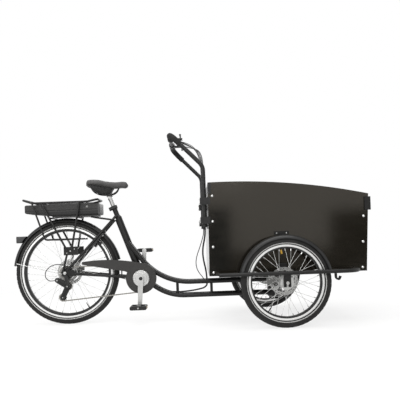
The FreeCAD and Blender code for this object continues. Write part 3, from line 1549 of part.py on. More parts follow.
trunk_route = [
    V(879, 0, 230.6), V(876, 0, 212), V(858, 0, 197), V(824, 0, 189), V(780, 0, 182), V(734, 0, 178),
    V(686, 0, 176.5), V(640, 0, 181), V(592, 0, 202), V(548, 0, 230), V(505, 0, 245), V(465, 0, 246),
    V(424, 0, 251)]
shift_route = [
    V(423.6, -2.7, 251.2), V(396, -20, 260), V(360, -40, 277), V(300, -51.8, 292), V(220, -62.4, 301),
    V(140, -73.2, 312), V(95, -80, 323), V(60, -88, 341), V(28, -91, 364), V(-8, -92, 380), V(-52, -92, 384),
    V(-93, -92, 368), V(-118, -92, 335), V(-116, -91, 301), V(-94, -88, 281), V(-61.6, -82, 283)]
motor_route = [
    V(423.6, 2.7, 251.2), V(396, 20, 260), V(360, 40, 277), V(300, 51.8, 292), V(220, 62.4, 301),
    V(140, 73.2, 312), V(96, 80, 317), V(62, 90, 317), V(34, 103, 320), V(12, 108, 324), V(1, 101, 326.2),
    V(0, 90.4, 326.5)]


def cables():
    keep("carriage_cables", cable(right_lever_route, cable_dia), cable(left_lever_route, cable_dia))
    keep("steering_cables", cable(crossing_route, 2 * cable_dia), cable(crossing_loop, cable_dia))
    keep("frame_cables", cable(trunk_route, 2 * cable_dia))
    keep("frame_cables", cable(shift_route, cable_dia), cable(motor_route, cable_dia))


def write_parts():
    # Moves the whole tricycle to the middle of its box and writes one file for each node.
    whole = Part.makeCompound([solid for solids in nodes.values() for solid in solids])
    box = whole.optimalBoundingBox(False, False)
    shift = V(-box.Center.x, -box.Center.y, -box.ZMin)
    os.makedirs("parts", exist_ok=True)
    for name, solids in nodes.items():
        shape = solids[0] if len(solids) == 1 else Part.makeCompound(solids)
        shape.translated(shift).exportStep("parts/" + name + ".step")
    print("nodes", len(nodes), "box", box, "shift", shift)


def main():
    seat_outer = seat_tube_outer()
    seat_tube()
    main_tubes(seat_outer)
    steering_head()
    bearing_cups()
    rear_stays(seat_outer)
    rim_brake()
    rear_axle_set()
    rear_caliper()
    rear_wheel()
    freewheel()
    rear_mudguard()
    tail_light()
    rack()
    battery()
    seat_clamp()
    seat()
    chain()
    derailleur()
    crankset()
    chain_guard()
    carriage_frame()
    front_axles()
    front_wheels()
    cargo_box()
    box_floor()
    box_hardware(handlebar())
    bar_controls()
    side_guards()
    disc_brakes()
    cables()
    write_parts()


main()
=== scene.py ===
import bmesh
import bpy
import math
from mathutils import Matrix, Vector


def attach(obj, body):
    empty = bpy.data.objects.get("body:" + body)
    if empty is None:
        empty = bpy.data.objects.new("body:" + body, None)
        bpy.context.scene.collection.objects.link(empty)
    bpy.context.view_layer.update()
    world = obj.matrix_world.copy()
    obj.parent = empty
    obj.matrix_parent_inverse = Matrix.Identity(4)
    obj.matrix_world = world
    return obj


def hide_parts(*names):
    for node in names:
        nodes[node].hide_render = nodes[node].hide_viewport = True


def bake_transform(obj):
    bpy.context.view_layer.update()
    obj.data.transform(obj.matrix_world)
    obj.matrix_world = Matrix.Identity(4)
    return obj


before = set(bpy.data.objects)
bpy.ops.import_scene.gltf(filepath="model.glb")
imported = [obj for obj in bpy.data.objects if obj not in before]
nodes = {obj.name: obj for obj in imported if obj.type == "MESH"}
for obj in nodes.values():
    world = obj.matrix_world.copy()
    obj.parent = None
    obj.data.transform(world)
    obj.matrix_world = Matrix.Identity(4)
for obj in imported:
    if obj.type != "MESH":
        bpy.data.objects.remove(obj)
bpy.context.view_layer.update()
print("frame loaded:", len(nodes), "nodes")

originShift = 738.9546  # the rear axle lies this far behind the frame's origin, in mm


def spot(x, y, z):
    # millimetres from the rear axle's foot on the ground, to metres in the shared frame
    return Vector(((x - originShift) / 1000, y / 1000, z / 1000))


def sumOf(operation, reflected=False):
    # one operator of the class below, reflected where a plain number stands on the left
    def apply(self, other=0):
        return self.maths(operation, other, self) if reflected else self.maths(operation, self, other)
    return apply


class Flow:
    # one socket's value, so that surface maths reads as plain sums
    def __init__(self, tree, socket):
        self.tree = tree
        self.socket = socket

    def maths(self, operation, first, second):
        node = self.tree.nodes.new("ShaderNodeMath")
        node.operation = operation
        feed(self.tree, node.inputs[0], first)
        feed(self.tree, node.inputs[1], second)
        return Flow(self.tree, node.outputs[0])

    __add__, __radd__ = sumOf("ADD"), sumOf("ADD", True)
    __sub__, __rsub__ = sumOf("SUBTRACT"), sumOf("SUBTRACT", True)
    __mul__, __rmul__ = sumOf("MULTIPLY"), sumOf("MULTIPLY", True)
    __pow__, __gt__, __lt__ = sumOf("POWER"), sumOf("GREATER_THAN"), sumOf("LESS_THAN")
    __abs__, part, most = sumOf("ABSOLUTE"), sumOf("FRACT"), sumOf("MAXIMUM")


def feed(tree, socket, value):
    if isinstance(value, Flow):
        tree.links.new(value.socket, socket)
    elif socket.type == "RGBA":
        socket.default_value = (*value, 1)
    else:
        socket.default_value = value


class Finish:
    # one material: constants go straight on the shader, what varies is linked
    def __init__(self, name, constants):
        self.material = bpy.data.materials.new(name)
        self.material.use_nodes = True
        self.tree = self.material.node_tree
        self.shader = self.tree.nodes["Principled BSDF"]
        self.give(constants)
        self.place = self.node("ShaderNodeTexCoord", {}, {}, "Object")

    def give(self, sockets):
        for socket, value in sockets.items():
            feed(self.tree, self.shader.inputs[socket], value)

    def node(self, kind, settings, sockets, out=0):
        node = self.tree.nodes.new(kind)
        for key, value in settings.items():
            setattr(node, key, value)
        for key, value in sockets.items():
            feed(self.tree, node.inputs[key], value)
        return Flow(self.tree, node.outputs[out])

    def noise(self, scale, detail=3, place=None):
        return self.node("ShaderNodeTexNoise", {}, {
            "Vector": place or self.place, "Scale": scale, "Detail": detail})

    def cells(self, scale):
        return self.node("ShaderNodeTexVoronoi", {}, {"Vector": self.place, "Scale": scale}, "Distance")

    def ramp(self, value, low, high):
        return self.node("ShaderNodeMapRange", {}, {"Value": value, "From Min": low, "From Max": high})

    def patches(self, scale, detail, low, high):
        return self.ramp(self.noise(scale, detail), low, high)

    def mix(self, share, first, second):
        return self.node("ShaderNodeMix", {"data_type": "RGBA"}, {0: share, 6: first, 7: second}, 2)

    def vector(self, operation, other):
        return self.node("ShaderNodeVectorMath", {"operation": operation}, {0: self.place, 1: other})

    def split(self, vector):
        parts = self.tree.nodes.new("ShaderNodeSeparateXYZ")
        feed(self.tree, parts.inputs[0], vector)
        return [Flow(self.tree, socket) for socket in parts.outputs]

    def fromPoint(self, point):
        return self.split(self.vector("SUBTRACT", point))

    def radius(self, centre):
        x, z = self.fromPoint(centre)[::2]
        return (x * x + z * z) ** 0.5

    def facing(self):
        return self.split(self.node("ShaderNodeTexCoord", {}, {}, "Normal"))

    def done(self, varying, relief, depth, strength):
        # what varies over the surface, its relief in metres, then the material itself
        self.give(varying)
        self.give({"Normal": self.node("ShaderNodeBump", {}, {
            "Height": relief, "Distance": depth, "Strength": strength})})
        return self.material


def lighter(colour, lift=0.0):
    # what rubbing leaves of a dark colour
    return tuple(1.7 * channel + lift for channel in colour)


def grey(shade):
    return (shade, shade, shade)


square = [(-1, -1), (1, -1), (1, 1), (-1, 1)]


paint = {
    "colour": (0.0075, 0.0073, 0.0071), "dusty": (0.012, 0.0116, 0.0111), "clouds": 7, "peel": 700, "scuff": 60,
    "gloss": 0.26}


def powderCoat(name):
    finish = Finish(name, {"IOR": 1.5, "Specular IOR Level": paint["gloss"]})
    clouds = finish.noise(paint["clouds"], 4)
    peel = finish.noise(paint["peel"], 2)
    scuff = finish.patches(paint["scuff"], 6, 0.60, 0.72)
    dust = finish.ramp(clouds, 0.35, 0.75) * 0.6 + scuff * 0.25
    return finish.done({
        "Base Color": finish.mix(dust, paint["colour"], paint["dusty"]),
        "Roughness": 0.34 + clouds * 0.10 + scuff * 0.12}, peel, 0.00025, 0.35)


film = {
    "colour": (0.0056, 0.0046, 0.0031), "worn": (0.0090, 0.0077, 0.0058), "ply": (0.10, 0.066, 0.04),
    "shine": (1, 0.93, 0.82), "gloss": 0.62, "layers": 420, "clouds": 2.2, "smear": 14, "scratch": 55, "grain": 240}


def filmPly(name, thickAxis):
    # black film on both faces, thin dark veneers on the sawn edges
    finish = Finish(name, {"IOR": 1.5, "Specular IOR Level": film["gloss"], "Specular Tint": film["shine"]})
    clouds = finish.noise(film["clouds"], 3)
    smear = finish.noise(film["smear"], 5, finish.vector("MULTIPLY", (1, 1, 2.4)))
    scratch = finish.noise(film["scratch"], 8, finish.vector("MULTIPLY", (1, 1, 6)))
    scratch = finish.ramp(scratch, 0.66, 0.74)
    worn = finish.ramp(clouds, 0.3, 0.75) * 0.5 + scratch * 0.18
    face = finish.mix(worn, film["colour"], film["worn"])
    depth = finish.split(finish.place)[thickAxis]
    veneer = finish.ramp((depth * film["layers"]).part(), 0.35, 0.65)
    edge = finish.mix(veneer * 0.5 + smear * 0.3, film["colour"], film["ply"])
    sawn = abs(finish.facing()[thickAxis]) < 0.75
    return finish.done({
        "Base Color": finish.mix(sawn * 0.55, face, edge),
        "Roughness": 0.08 + smear * 0.09 + scratch * 0.10 + sawn * 0.4},
        finish.noise(film["grain"], 3) + scratch * 0.4 + veneer * sawn, 0.00012, 0.35)


wheelLooks = {
    "rubber": (0.0105, 0.0103, 0.0100), "dusty": (0.030, 0.029, 0.0275), "line": (0.50, 0.50, 0.49),
    "lineHalf": 0.0022, "lineFrom": 0.008, "hatch": 210, "hatchLean": 260, "ribs": 420, "crown": 0.020,
    "rimBlack": grey(0.014), "rimWorn": grey(0.035), "rimBare": (0.80, 0.80, 0.79), "rimRings": 1500, "gloss": 0.24}


def tyreRubber(name, radius, lineRadius):
    # the piece's own origin lies on the axle
    finish = Finish(name, {"IOR": 1.5, "Specular IOR Level": wheelLooks["gloss"]})
    x, y, z = finish.split(finish.place)
    away = (x * x + z * z) ** 0.5
    turn = x.maths("ARCTAN2", z, x)
    hatch = (turn * (wheelLooks["hatch"] / math.tau) + away * wheelLooks["hatchLean"]).part() > 0.42
    line = (abs(away - lineRadius) < wheelLooks["lineHalf"]) * (abs(y) > wheelLooks["lineFrom"])
    grain = finish.noise(380, 4)
    dust = finish.patches(26, 5, 0.42, 0.78)
    crown = finish.ramp(away, radius - wheelLooks["crown"], radius)
    rubber = finish.mix(dust * 0.3 + crown * 0.25, wheelLooks["rubber"], wheelLooks["dusty"])
    ribs = (away * wheelLooks["ribs"]).part() > 0.5
    return finish.done({
        "Base Color": finish.mix(line * (0.35 + hatch * 0.6), rubber, wheelLooks["line"]),
        "Roughness": 0.62 + grain * 0.18 - line * 0.3}, grain + ribs * 0.5 * (1 - crown), 0.0004, 0.4)


def rimMetal(name, centre, outer, bareWidth):
    # black anodised, with a bare ring turned on the brake track
    finish = Finish(name, {"Specular IOR Level": wheelLooks["gloss"]})
    away = finish.radius(centre)
    side = finish.ramp(abs(finish.facing()[1]), 0.35, 0.6)
    bare = (away > outer - bareWidth) * side
    ringed = finish.noise(90, 3) * 0.5 + (away * wheelLooks["rimRings"]).part() * 0.5
    clouds = finish.noise(30, 3)
    black = finish.mix(clouds, wheelLooks["rimBlack"], wheelLooks["rimWorn"])
    return finish.done({
        "Base Color": finish.mix(bare, black, wheelLooks["rimBare"]),
        "Metallic": bare,
        "Roughness": 0.30 + ringed * 0.12 * bare + clouds * 0.08}, ringed * bare + clouds * 0.3, 0.00012, 0.3)


# grime is also the colour of the painted shade in the hubs' drilled holes
metal = {
    "cast": (0.56, 0.56, 0.55), "bright": (0.60, 0.60, 0.59), "hub": (0.56, 0.56, 0.55),
    "oily": (0.26, 0.248, 0.225), "dark": (0.16, 0.16, 0.155), "grime": (0.060, 0.056, 0.050),
    "blasted": (0.45, 0.45, 0.44)}


def bareMetal(name, colour, rough, grain, grime):
    finish = Finish(name, {"Metallic": 1.0})
    blast = finish.noise(grain, 3)
    stain = finish.patches(24, 6, 0.52, 0.80)
    clean = finish.mix(blast * 0.25, colour, metal["blasted"])
    return finish.done({
        "Base Color": finish.mix(stain * grime, clean, metal["grime"]),
        "Roughness": rough + blast * 0.12 + stain * grime * 0.3}, blast, 0.00015, 0.3)


post = {"plated": (0.66, 0.66, 0.65), "stained": (0.40, 0.40, 0.39), "black": grey(0.009)}


def postSteel(name, blackFrom):
    # a plated post under a black clamp and rails
    finish = Finish(name, {"Specular IOR Level": 0.3})
    black = finish.split(finish.place)[2] > blackFrom
    drawn = finish.noise(240, 4, finish.vector("MULTIPLY", (1, 1, 0.08)))
    stain = finish.patches(30, 5, 0.5, 0.8)
    plated = finish.mix(stain * 0.3, post["plated"], post["stained"])
    return finish.done({
        "Base Color": finish.mix(black, plated, post["black"]),
        "Metallic": 1 - black,
        "Roughness": 0.20 + drawn * 0.12 + black * 0.18}, drawn, 0.00008, 0.3)


rotor = {"rings": 700, "holes": 72, "inner": 0.050, "rows": 130, "holeSize": 0.075, "drilledFrom": 0.052}


def brushedHub(name, centre, shellRadius, ringDepth):
    # turned rings on the disc, with drilled holes painted near black on it as a painted shade inside each hole,
    # plain drawn wire on the spokes
    finish = Finish(name, {"Metallic": 1.0})
    away = finish.radius(centre)
    shell = away < shellRadius
    rings = (away * rotor["rings"]).part()
    x, z = finish.fromPoint(centre)[::2]
    turn = x.maths("ARCTAN2", z, x) * (rotor["holes"] / math.tau)
    row = (away - rotor["inner"]) * rotor["rows"]
    offCentre = ((turn + (row - row.part()) * 0.5).part() - 0.5) ** 2 + (row.part() - 0.5) ** 2
    # the drilled holes are painted, not cut: near black, as the shade inside them
    holeShade = (offCentre < rotor["holeSize"]) * shell * (away > rotor["drilledFrom"])
    blast = finish.noise(320, 3)
    stain = finish.patches(40, 5, 0.55, 0.8)
    # real stains, and the painted shade of the holes
    dark = (stain * 0.35).most(holeShade * 0.92)
    clean = finish.mix(shell, metal["bright"], metal["hub"])
    return finish.done({
        "Base Color": finish.mix(dark, clean, metal["grime"]),
        "Roughness": 0.24 + blast * 0.14 + shell * rings * 0.06 + stain * 0.15},
        rings * shell * ringDepth + blast * 0.5, 0.0001, 0.3)


axle = {"blasted": (0.42, 0.42, 0.41), "cast": (0.13, 0.13, 0.126), "nutRadius": 0.021}


def axleSteel(name, centre, darkFrom):
    # bright axle and nuts, dark castings on the brake side
    finish = Finish(name, {"Metallic": 1.0})
    y = finish.split(finish.place)[1]
    cast = (y > darkFrom) * (finish.radius(centre) > axle["nutRadius"])
    blast = finish.noise(300, 3)
    bright = finish.mix(blast * 0.3, metal["bright"], axle["blasted"])
    return finish.done({
        "Base Color": finish.mix(cast, bright, axle["cast"]),
        "Roughness": 0.20 + blast * 0.14 + cast * 0.14}, blast, 0.00012, 0.3)


plastic = {"black": grey(0.012), "grain": 900, "clouds": 18, "rub": 75, "gloss": 0.32}


def mouldedPlastic(name, colour, rough, grainDepth):
    finish = Finish(name, {"IOR": 1.46, "Specular IOR Level": plastic["gloss"]})
    spark = finish.cells(plastic["grain"])
    clouds = finish.noise(plastic["clouds"], 4)
    rub = finish.patches(plastic["rub"], 6, 0.62, 0.75)
    return finish.done({
        "Base Color": finish.mix(clouds * 0.35 + rub * 0.3, colour, lighter(colour, 0.004)),
        "Roughness": rough + clouds * 0.12 - rub * 0.06}, spark, grainDepth, 0.5)


def batteryCase(name, colour, groove, darkBelow):
    # a parting groove along the case, and a blacker lower half
    finish = Finish(name, {"IOR": 1.46, "Specular IOR Level": plastic["gloss"]})
    z = finish.split(finish.place)[2]
    spark = finish.cells(plastic["grain"])
    clouds = finish.noise(plastic["clouds"], 4)
    parting = abs(z - groove) < 0.0016
    lower = (z < darkBelow).most(parting)
    upper = finish.mix(clouds * 0.4, colour, lighter(colour))
    return finish.done({
        "Base Color": finish.mix(lower * 0.75, upper, grey(0.005)),
        "Roughness": 0.46 + clouds * 0.12 - lower * 0.05}, spark * 0.3 - parting, 0.0006, 0.5)


def foam(name):
    finish = Finish(name, {"IOR": 1.4, "Specular IOR Level": 0.25})
    pores = finish.cells(520)
    clouds = finish.noise(40, 4)
    return finish.done({
        "Base Color": finish.mix(clouds, grey(0.011), (0.026, 0.0255, 0.025)),
        "Roughness": 0.82 + pores * 0.3}, pores + clouds, 0.0005, 0.6)


def leatherette(name, colour):
    finish = Finish(name, {"IOR": 1.48, "Specular IOR Level": 0.35, "Sheen Weight": 0.08, "Sheen Roughness": 0.5})
    pebble = finish.cells(420)
    fine = finish.cells(900)
    wear = finish.patches(9, 4, 0.4, 0.75)
    return finish.done({
        "Base Color": finish.mix(wear * 0.6 + pebble * 0.25, colour, lighter(colour)),
        "Roughness": 0.48 + pebble * 0.2 - wear * 0.06}, pebble * 0.7 + fine * 0.3, 0.0006, 0.55)


lamp = {
    "lens": (0.42, 0.012, 0.010), "housing": grey(0.010), "scuffed": grey(0.04), "amber": (0.58, 0.33, 0.02),
    "lensFront": (-305.4, 0, 542.4), "lensHalf": (0.0211, 0.0151), "prisms": 260, "cubes": 300}


def tailLamp(name):
    finish = Finish(name, {"IOR": 1.49})
    x, y, z = finish.fromPoint(spot(*lamp["lensFront"]))
    wide, high = lamp["lensHalf"]
    lens = (x < 0) * (abs(y) < wide) * (abs(z) < high)
    prisms = ((x + z) * lamp["prisms"]).part() * (y * lamp["prisms"]).part()
    clouds = finish.noise(60, 3)
    housing = finish.mix(clouds, lamp["housing"], lamp["scuffed"])
    return finish.done({
        "Base Color": finish.mix(lens, housing, lamp["lens"]),
        "Roughness": 0.45 - lens * 0.33,
        "Coat Weight": lens}, prisms * lens + clouds * 0.2, 0.0008, 0.5)


def prismLens(name, colour):
    # moulded corner cubes under a clear face, their facets also painted lighter and darker in the colour as painted
    # glints and shade
    finish = Finish(name, {"IOR": 1.49, "Coat Weight": 0.6, "Coat Roughness": 0.05})
    x, z = finish.split(finish.place)[::2]
    cubes = ((x + z) * lamp["cubes"]).part() * ((x - z) * lamp["cubes"]).part()
    clouds = finish.noise(50, 3)
    # a darker copy of the lens colour, painted on the facets as their shade; the lighter facets are a painted glint
    deep = tuple(0.45 * channel for channel in colour)
    return finish.done({
        "Base Color": finish.mix(cubes * 0.7 + clouds * 0.3, deep, colour),
        "Roughness": 0.12 + clouds * 0.12}, cubes, 0.0007, 0.5)


def screenGlass(name):
    finish = Finish(name, {"IOR": 1.5, "Coat Weight": 0.5, "Coat Roughness": 0.03})
    clouds = finish.noise(60, 4)
    smear = finish.patches(160, 5, 0.5, 0.7)
    return finish.done({
        "Base Color": finish.mix(clouds, (0.012, 0.014, 0.015), (0.030, 0.034, 0.035)),
        "Roughness": 0.08 + smear * 0.15}, smear, 0.00002, 0.2)


board = {"film": (0.030, 0.026, 0.022), "worn": (0.075, 0.063, 0.052), "wires": 150}


def floorBoard(name):
    # wire pattern pressed into the film for grip
    finish = Finish(name, {"IOR": 1.5})
    x, y = finish.split(finish.place)[:2]
    wires = ((x + y) * board["wires"]).part() * ((x - y) * board["wires"]).part()
    clouds = finish.noise(12, 5)
    return finish.done({
        "Base Color": finish.mix(finish.ramp(clouds, 0.3, 0.8), board["film"], board["worn"]),
        "Roughness": 0.5 + wires * 0.2}, wires, 0.0006, 0.6)


rearCentre = spot(0, 0, 326.5)
frontCentre = spot(1305, 0, 251)
makers = {  # finish: its function, then the function's values
    "frameBlack": (powderCoat,),
    "sideFilm": (filmPly, 1),
    "endFilm": (filmPly, 0),
    "floorBoard": (floorBoard,),
    "rearRim": (rimMetal, rearCentre, 0.2855, 0.0105),
    "frontRim": (rimMetal, frontCentre, 0.209, 0.0115),
    "motorHub": (brushedHub, rearCentre, 0.0805, 1.0),
    "frontHub": (brushedHub, frontCentre, 0.082, 0.6),
    "postSteel": (postSteel, 0.7935),
    "axleSteel": (axleSteel, rearCentre, 0.030),
    "castSilver": (bareMetal, metal["cast"], 0.30, 420, 0.25),
    "brightSteel": (bareMetal, metal["bright"], 0.18, 260, 0.15),
    "oiledSteel": (bareMetal, metal["oily"], 0.30, 500, 0.6),
    "darkCast": (bareMetal, metal["dark"], 0.34, 420, 0.4),
    "blackPlastic": (mouldedPlastic, plastic["black"], 0.42, 0.0002),
    "guardGloss": (mouldedPlastic, grey(0.008), 0.30, 0.00005),
    "chainGuardBlack": (mouldedPlastic, (0.024, 0.0232, 0.0222), 0.36, 0.0001),
    "cableBlack": (mouldedPlastic, grey(0.011), 0.5, 0.00008),
    "batteryCap": (mouldedPlastic, grey(0.060), 0.40, 0.0002),
    "batteryGrey": (batteryCase, (0.022, 0.0216, 0.0212), 0.7180, 0.7085),
    "gripFoam": (foam,),
    "tailLamp": (tailLamp,),
    "amberLens": (prismLens, lamp["amber"]),
    "screenGlass": (screenGlass,),
    "saddleTop": (leatherette, (0.036, 0.0352, 0.0345)),
    "saddleSkirt": (leatherette, (0.012, 0.0118, 0.0115))}
finishes = {name: maker(name, *values) for name, (maker, *values) in makers.items()}
wearers = {  # finish: the CAD nodes that wear it
    "frameBlack": "seat_tube upper_main_tubes lower_main_tubes head_tube seat_stays chain_stays rack_frame"
                  " carriage_frame box_hardware handlebar guard_bars",
    "blackPlastic": "seat_clamp seat_clamp_lever derailleur rear_tyre front_tyre_left front_tyre_right"
                    " pedal_right pedal_left guide_pulley tension_pulley brake_arm_left brake_arm_right"
                    " handlebar_controls brake_lever_left brake_lever_right twist_shifter",
    "brightSteel": "frame_bearings mudguard_stays box_bolts front_axles",
    "darkCast": "freewheel brake_calipers caliper_arm_left caliper_arm_right",
    "cableBlack": "frame_cables carriage_cables steering_cables",
    "guardGloss": "rear_mudguard front_mudguards", "chainGuardBlack": "chain_guard", "tailLamp": "tail_light",
    "axleSteel": "rear_axle", "oiledSteel": "chain", "castSilver": "crankset", "postSteel": "seat_post",
    "saddleTop": "saddle", "batteryGrey": "battery", "gripFoam": "grips", "motorHub": "hub_motor",
    "rearRim": "rear_rim", "frontRim": "front_rim_left front_rim_right",
    "frontHub": "front_hub_left front_hub_right", "floorBoard": "box_floor",
    "sideFilm": "box_side_left box_side_right", "endFilm": "box_front box_rear"}
for finish, names in wearers.items():
    for name in names.split():
        nodes[name].data.materials.clear()
        nodes[name].data.materials.append(finishes[finish])
print("finishes:", len(finishes))


stage = {
    "camera": (808.4, -3070, 515.5), "lens": 43.56, "sensor": 36, "roll": 2.15, "shift": (0.0140, 0.0943),
    "floor": (0.93, 0.925, 0.915), "floorDust": (0.90, 0.895, 0.885), "floorSize": 14, "sky": 0.62,
    "glowFrom": 1.2, "glowFull": 3.2, "nearGlow": 0.76, "farGlow": 0.24}


def setCamera():
    data = bpy.data.cameras.new("studioCamera")
    data.lens = stage["lens"]
    data.sensor_width = stage["sensor"]
    data.shift_x, data.shift_y = stage["shift"]
    camera = bpy.data.objects.new("studioCamera", data)
    turn = Matrix.Rotation(math.radians(90), 4, "X") @ Matrix.Rotation(-math.radians(stage["roll"]), 4, "Z")
    camera.matrix_world = Matrix.Translation(spot(*stage["camera"])) @ turn
    bpy.context.collection.objects.link(camera)
    bpy.context.scene.camera = camera


def seenDirectly(tree):
    # 1 where the camera, a mirror or glass looks at the backdrop, 0 where it only lights
    path = tree.nodes.new("ShaderNodeLightPath")
    camera, glossy, clear = [Flow(tree, path.outputs[name]) for name in (
        "Is Camera Ray", "Is Glossy Ray", "Is Transmission Ray")]
    return camera.most(glossy).most(clear)


def setWorld():
    world = bpy.data.worlds.new("studio")
    world.use_nodes = True
    bpy.context.scene.world = world
    tree = world.node_tree
    seen = seenDirectly(tree)
    background = tree.nodes["Background"]
    background.inputs["Color"].default_value = (1, 1, 1, 1)
    feed(tree, background.inputs["Strength"], seen * (1 - stage["sky"]) + stage["sky"])


def screen(name, corners, finish):
    mesh = bpy.data.meshes.new(name)
    mesh.from_pydata(corners, [], [(0, 1, 2, 3)])
    mesh.materials.append(finish.material)
    obj = bpy.data.objects.new(name, mesh)
    bpy.context.collection.objects.link(obj)
    return obj


def setFloor():
    finish = Finish("paleFloor", {"Roughness": 0.9, "Specular IOR Level": 0.1})
    clouds = finish.noise(3, 4)
    finish.give({"Base Color": finish.mix(clouds * 0.3, stage["floor"], stage["floorDust"])})
    x, y = finish.split(finish.place)[:2]
    seen = seenDirectly(finish.tree)
    far = finish.ramp((x * x + y * y) ** 0.5, stage["glowFrom"], stage["glowFull"])
    glow = finish.node("ShaderNodeEmission", {}, {"Color": (1, 1, 1), "Strength": 1.0})
    shown = finish.node("ShaderNodeMixShader", {}, {
        0: seen * (stage["nearGlow"] + far * stage["farGlow"]),
        1: Flow(finish.tree, finish.shader.outputs[0]), 2: glow})
    feed(finish.tree, finish.tree.nodes["Material Output"].inputs["Surface"], shown)
    corners = [(a * stage["floorSize"], b * stage["floorSize"], 0) for a, b in square]
    floor = screen("studioFloor", corners, finish)


softboxes = {  # place, what it looks at, width, height, watts
    "topBox": ((700, -500, 3200), (700, 0, 300), 3.4, 2.2, 70),
    "frontBox": ((300, -3400, 2100), (800, 0, 450), 2.6, 1.6, 55),
    "sideBox": ((-1900, -1700, 1500), (500, 0, 400), 1.2, 1.6, 24),
    "backBox": ((1100, 2900, 1900), (800, 0, 500), 2.4, 1.4, 34)}


def setLamps():
    for name, (place, aim, width, height, watts) in softboxes.items():
        data = bpy.data.lights.new(name, "AREA")
        data.shape = "RECTANGLE"
        data.size = width
        data.size_y = height
        data.energy = watts
        box = bpy.data.objects.new(name, data)
        turn = (spot(*place) - spot(*aim)).to_track_quat("Z", "Y").to_matrix().to_4x4()
        box.matrix_world = Matrix.Translation(spot(*place)) @ turn
        bpy.context.collection.objects.link(box)


flags = {  # dark screens beside the camera, seen only in reflections: low corner, high corner, tint
    "leftFlag": ((860, -3300, 0), (1240, -3300, 860), (0.03, 0.06, 0.09)),
    "rightFlag": ((2420, -3300, 0), (3400, -3300, 780), (0.08, 0.08, 0.07)),
    "lowFlag": ((880, -3310, 0), (3400, -3310, 330), (0.16, 0.15, 0.13))}


def setFlags():
    for name, (low, high, tint) in flags.items():
        corners = [(low[0], low[2]), (high[0], low[2]), (high[0], high[2]), (low[0], high[2])]
        cloth = Finish(name, {
            "Roughness": 0.95, "Specular IOR Level": 0.0, "Emission Color": tint, "Emission Strength": 1.0})
        cloth.give({"Base Color": cloth.mix(cloth.noise(30), grey(0.01), grey(0.02))})
        flag = screen(name, [spot(x, low[1], z) for x, z in corners], cloth)
        flag.visible_camera = False
        flag.visible_diffuse = False
        flag.visible_shadow = False
        flag.visible_transmission = False


bpy.context.scene.view_settings.view_transform = "Standard"
setCamera()
setWorld()
setFloor()
setLamps()
setFlags()
print("stage set")


def piece(name, shapes, finish, body, sharpAngle=40, at=None):
    # each shape is a pair of points and faces
    points, faces = [], []
    for shapePoints, shapeFaces in shapes:
        start = len(points)
        points += shapePoints
        faces += [[index + start for index in face] for face in shapeFaces]
    mesh = bpy.data.meshes.new(name)
    mesh.from_pydata(points, [], faces)
    shape = bmesh.new()  # all faces look outwards
    shape.from_mesh(mesh)
    bmesh.ops.recalc_face_normals(shape, faces=shape.faces)
    shape.to_mesh(mesh)
    shape.free()
    for polygon in mesh.polygons:
        polygon.use_smooth = True
    mesh.set_sharp_from_angle(angle=math.radians(sharpAngle))
    mesh.materials.append(finishes[finish])
    obj = bpy.data.objects.new(name, mesh)
    bpy.context.collection.objects.link(obj)
    if at:
        obj.location = at
    if body:
        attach(obj, body)
    return obj


def skin(rings, around=False):
    # faces between equal rings of points, with two caps unless the last ring meets the first
    size, count = len(rings[0]), len(rings)
    points = [point for ring in rings for point in ring]
    faces = []
    for index in range(count if around else count - 1):
        here, there = index * size, (index + 1) % count * size
        for step in range(size):
            following = (step + 1) % size
            faces.append((here + step, here + following, there + following, there + step))
    if not around:
        faces.append(tuple(range(size))[::-1])
        faces.append(tuple(range((count - 1) * size, count * size)))
    return points, faces


def circle(centre, across, lift, radius, sides):
    turns = [math.tau * step / sides for step in range(sides)]
    return [centre + (across * math.cos(turn) + lift * math.sin(turn)) * radius for turn in turns]


def heading(path, index):
    # the way the path runs at one of its points
    return (path[min(index + 1, len(path) - 1)] - path[max(index - 1, 0)]).normalized()


def tube(path, radius, sides):
    # a round tube along a list of points, with its frame carried along the path
    rings = []
    across = heading(path, 0).orthogonal().normalized()
    for index, centre in enumerate(path):
        along = heading(path, index)
        across = (across - along * across.dot(along)).normalized()
        rings.append(circle(centre, across, along.cross(across), radius, sides))
    return skin(rings)


def smoothPath(route):
    # the route's points steer a smooth spline, read back as a line of points
    curve = bpy.data.curves.new("route", "CURVE")
    curve.dimensions = "3D"
    curve.resolution_u = 8
    spline = curve.splines.new("NURBS")
    spline.points.add(len(route) - 1)
    for point, place in zip(spline.points, route):
        point.co = (*place, 1)
    spline.order_u = 3
    spline.use_endpoint_u = True
    holder = bpy.data.objects.new("route", curve)
    bpy.context.collection.objects.link(holder)
    line = bpy.data.meshes.new_from_object(holder)
    path = [vertex.co.copy() for vertex in line.vertices]
    bpy.data.objects.remove(holder)
    bpy.data.curves.remove(curve)
    bpy.data.meshes.remove(line)
    return path


def housings(routes):
    # a round housing along each route
    return [
        tube(smoothPath([spot(*place) for place in route]), radius, 12) for route, radius in routes.values()]


def squareTo(along):
    # a unit vector along the line, and two across it
    along = Vector(along).normalized()
    across = along.orthogonal().normalized()
    return along, across, along.cross(across)


def turned(start, along, profile, sides):
    # (distance, radius) pairs turned about a line from the start point
    along, across, lift = squareTo(along)
    return skin([circle(start + along * distance, across, lift, radius, sides) for distance, radius in profile])


heads = {  # sides, then shares of the height and of the radius
    "hex": (6, [(-1, 1), (0.75, 1), (1, 0.84), (1, 0.48), (0.5, 0.44)]),
    "dome": (18, [(-0.5, 1), (0.15, 1), (0.6, 0.86), (0.9, 0.55), (1, 0.36), (0.55, 0.32)])}


def head(kind, start, along, radius, height):
    sides, profile = heads[kind]
    return turned(start, along, [(a * height, b * radius) for a, b in profile], sides)


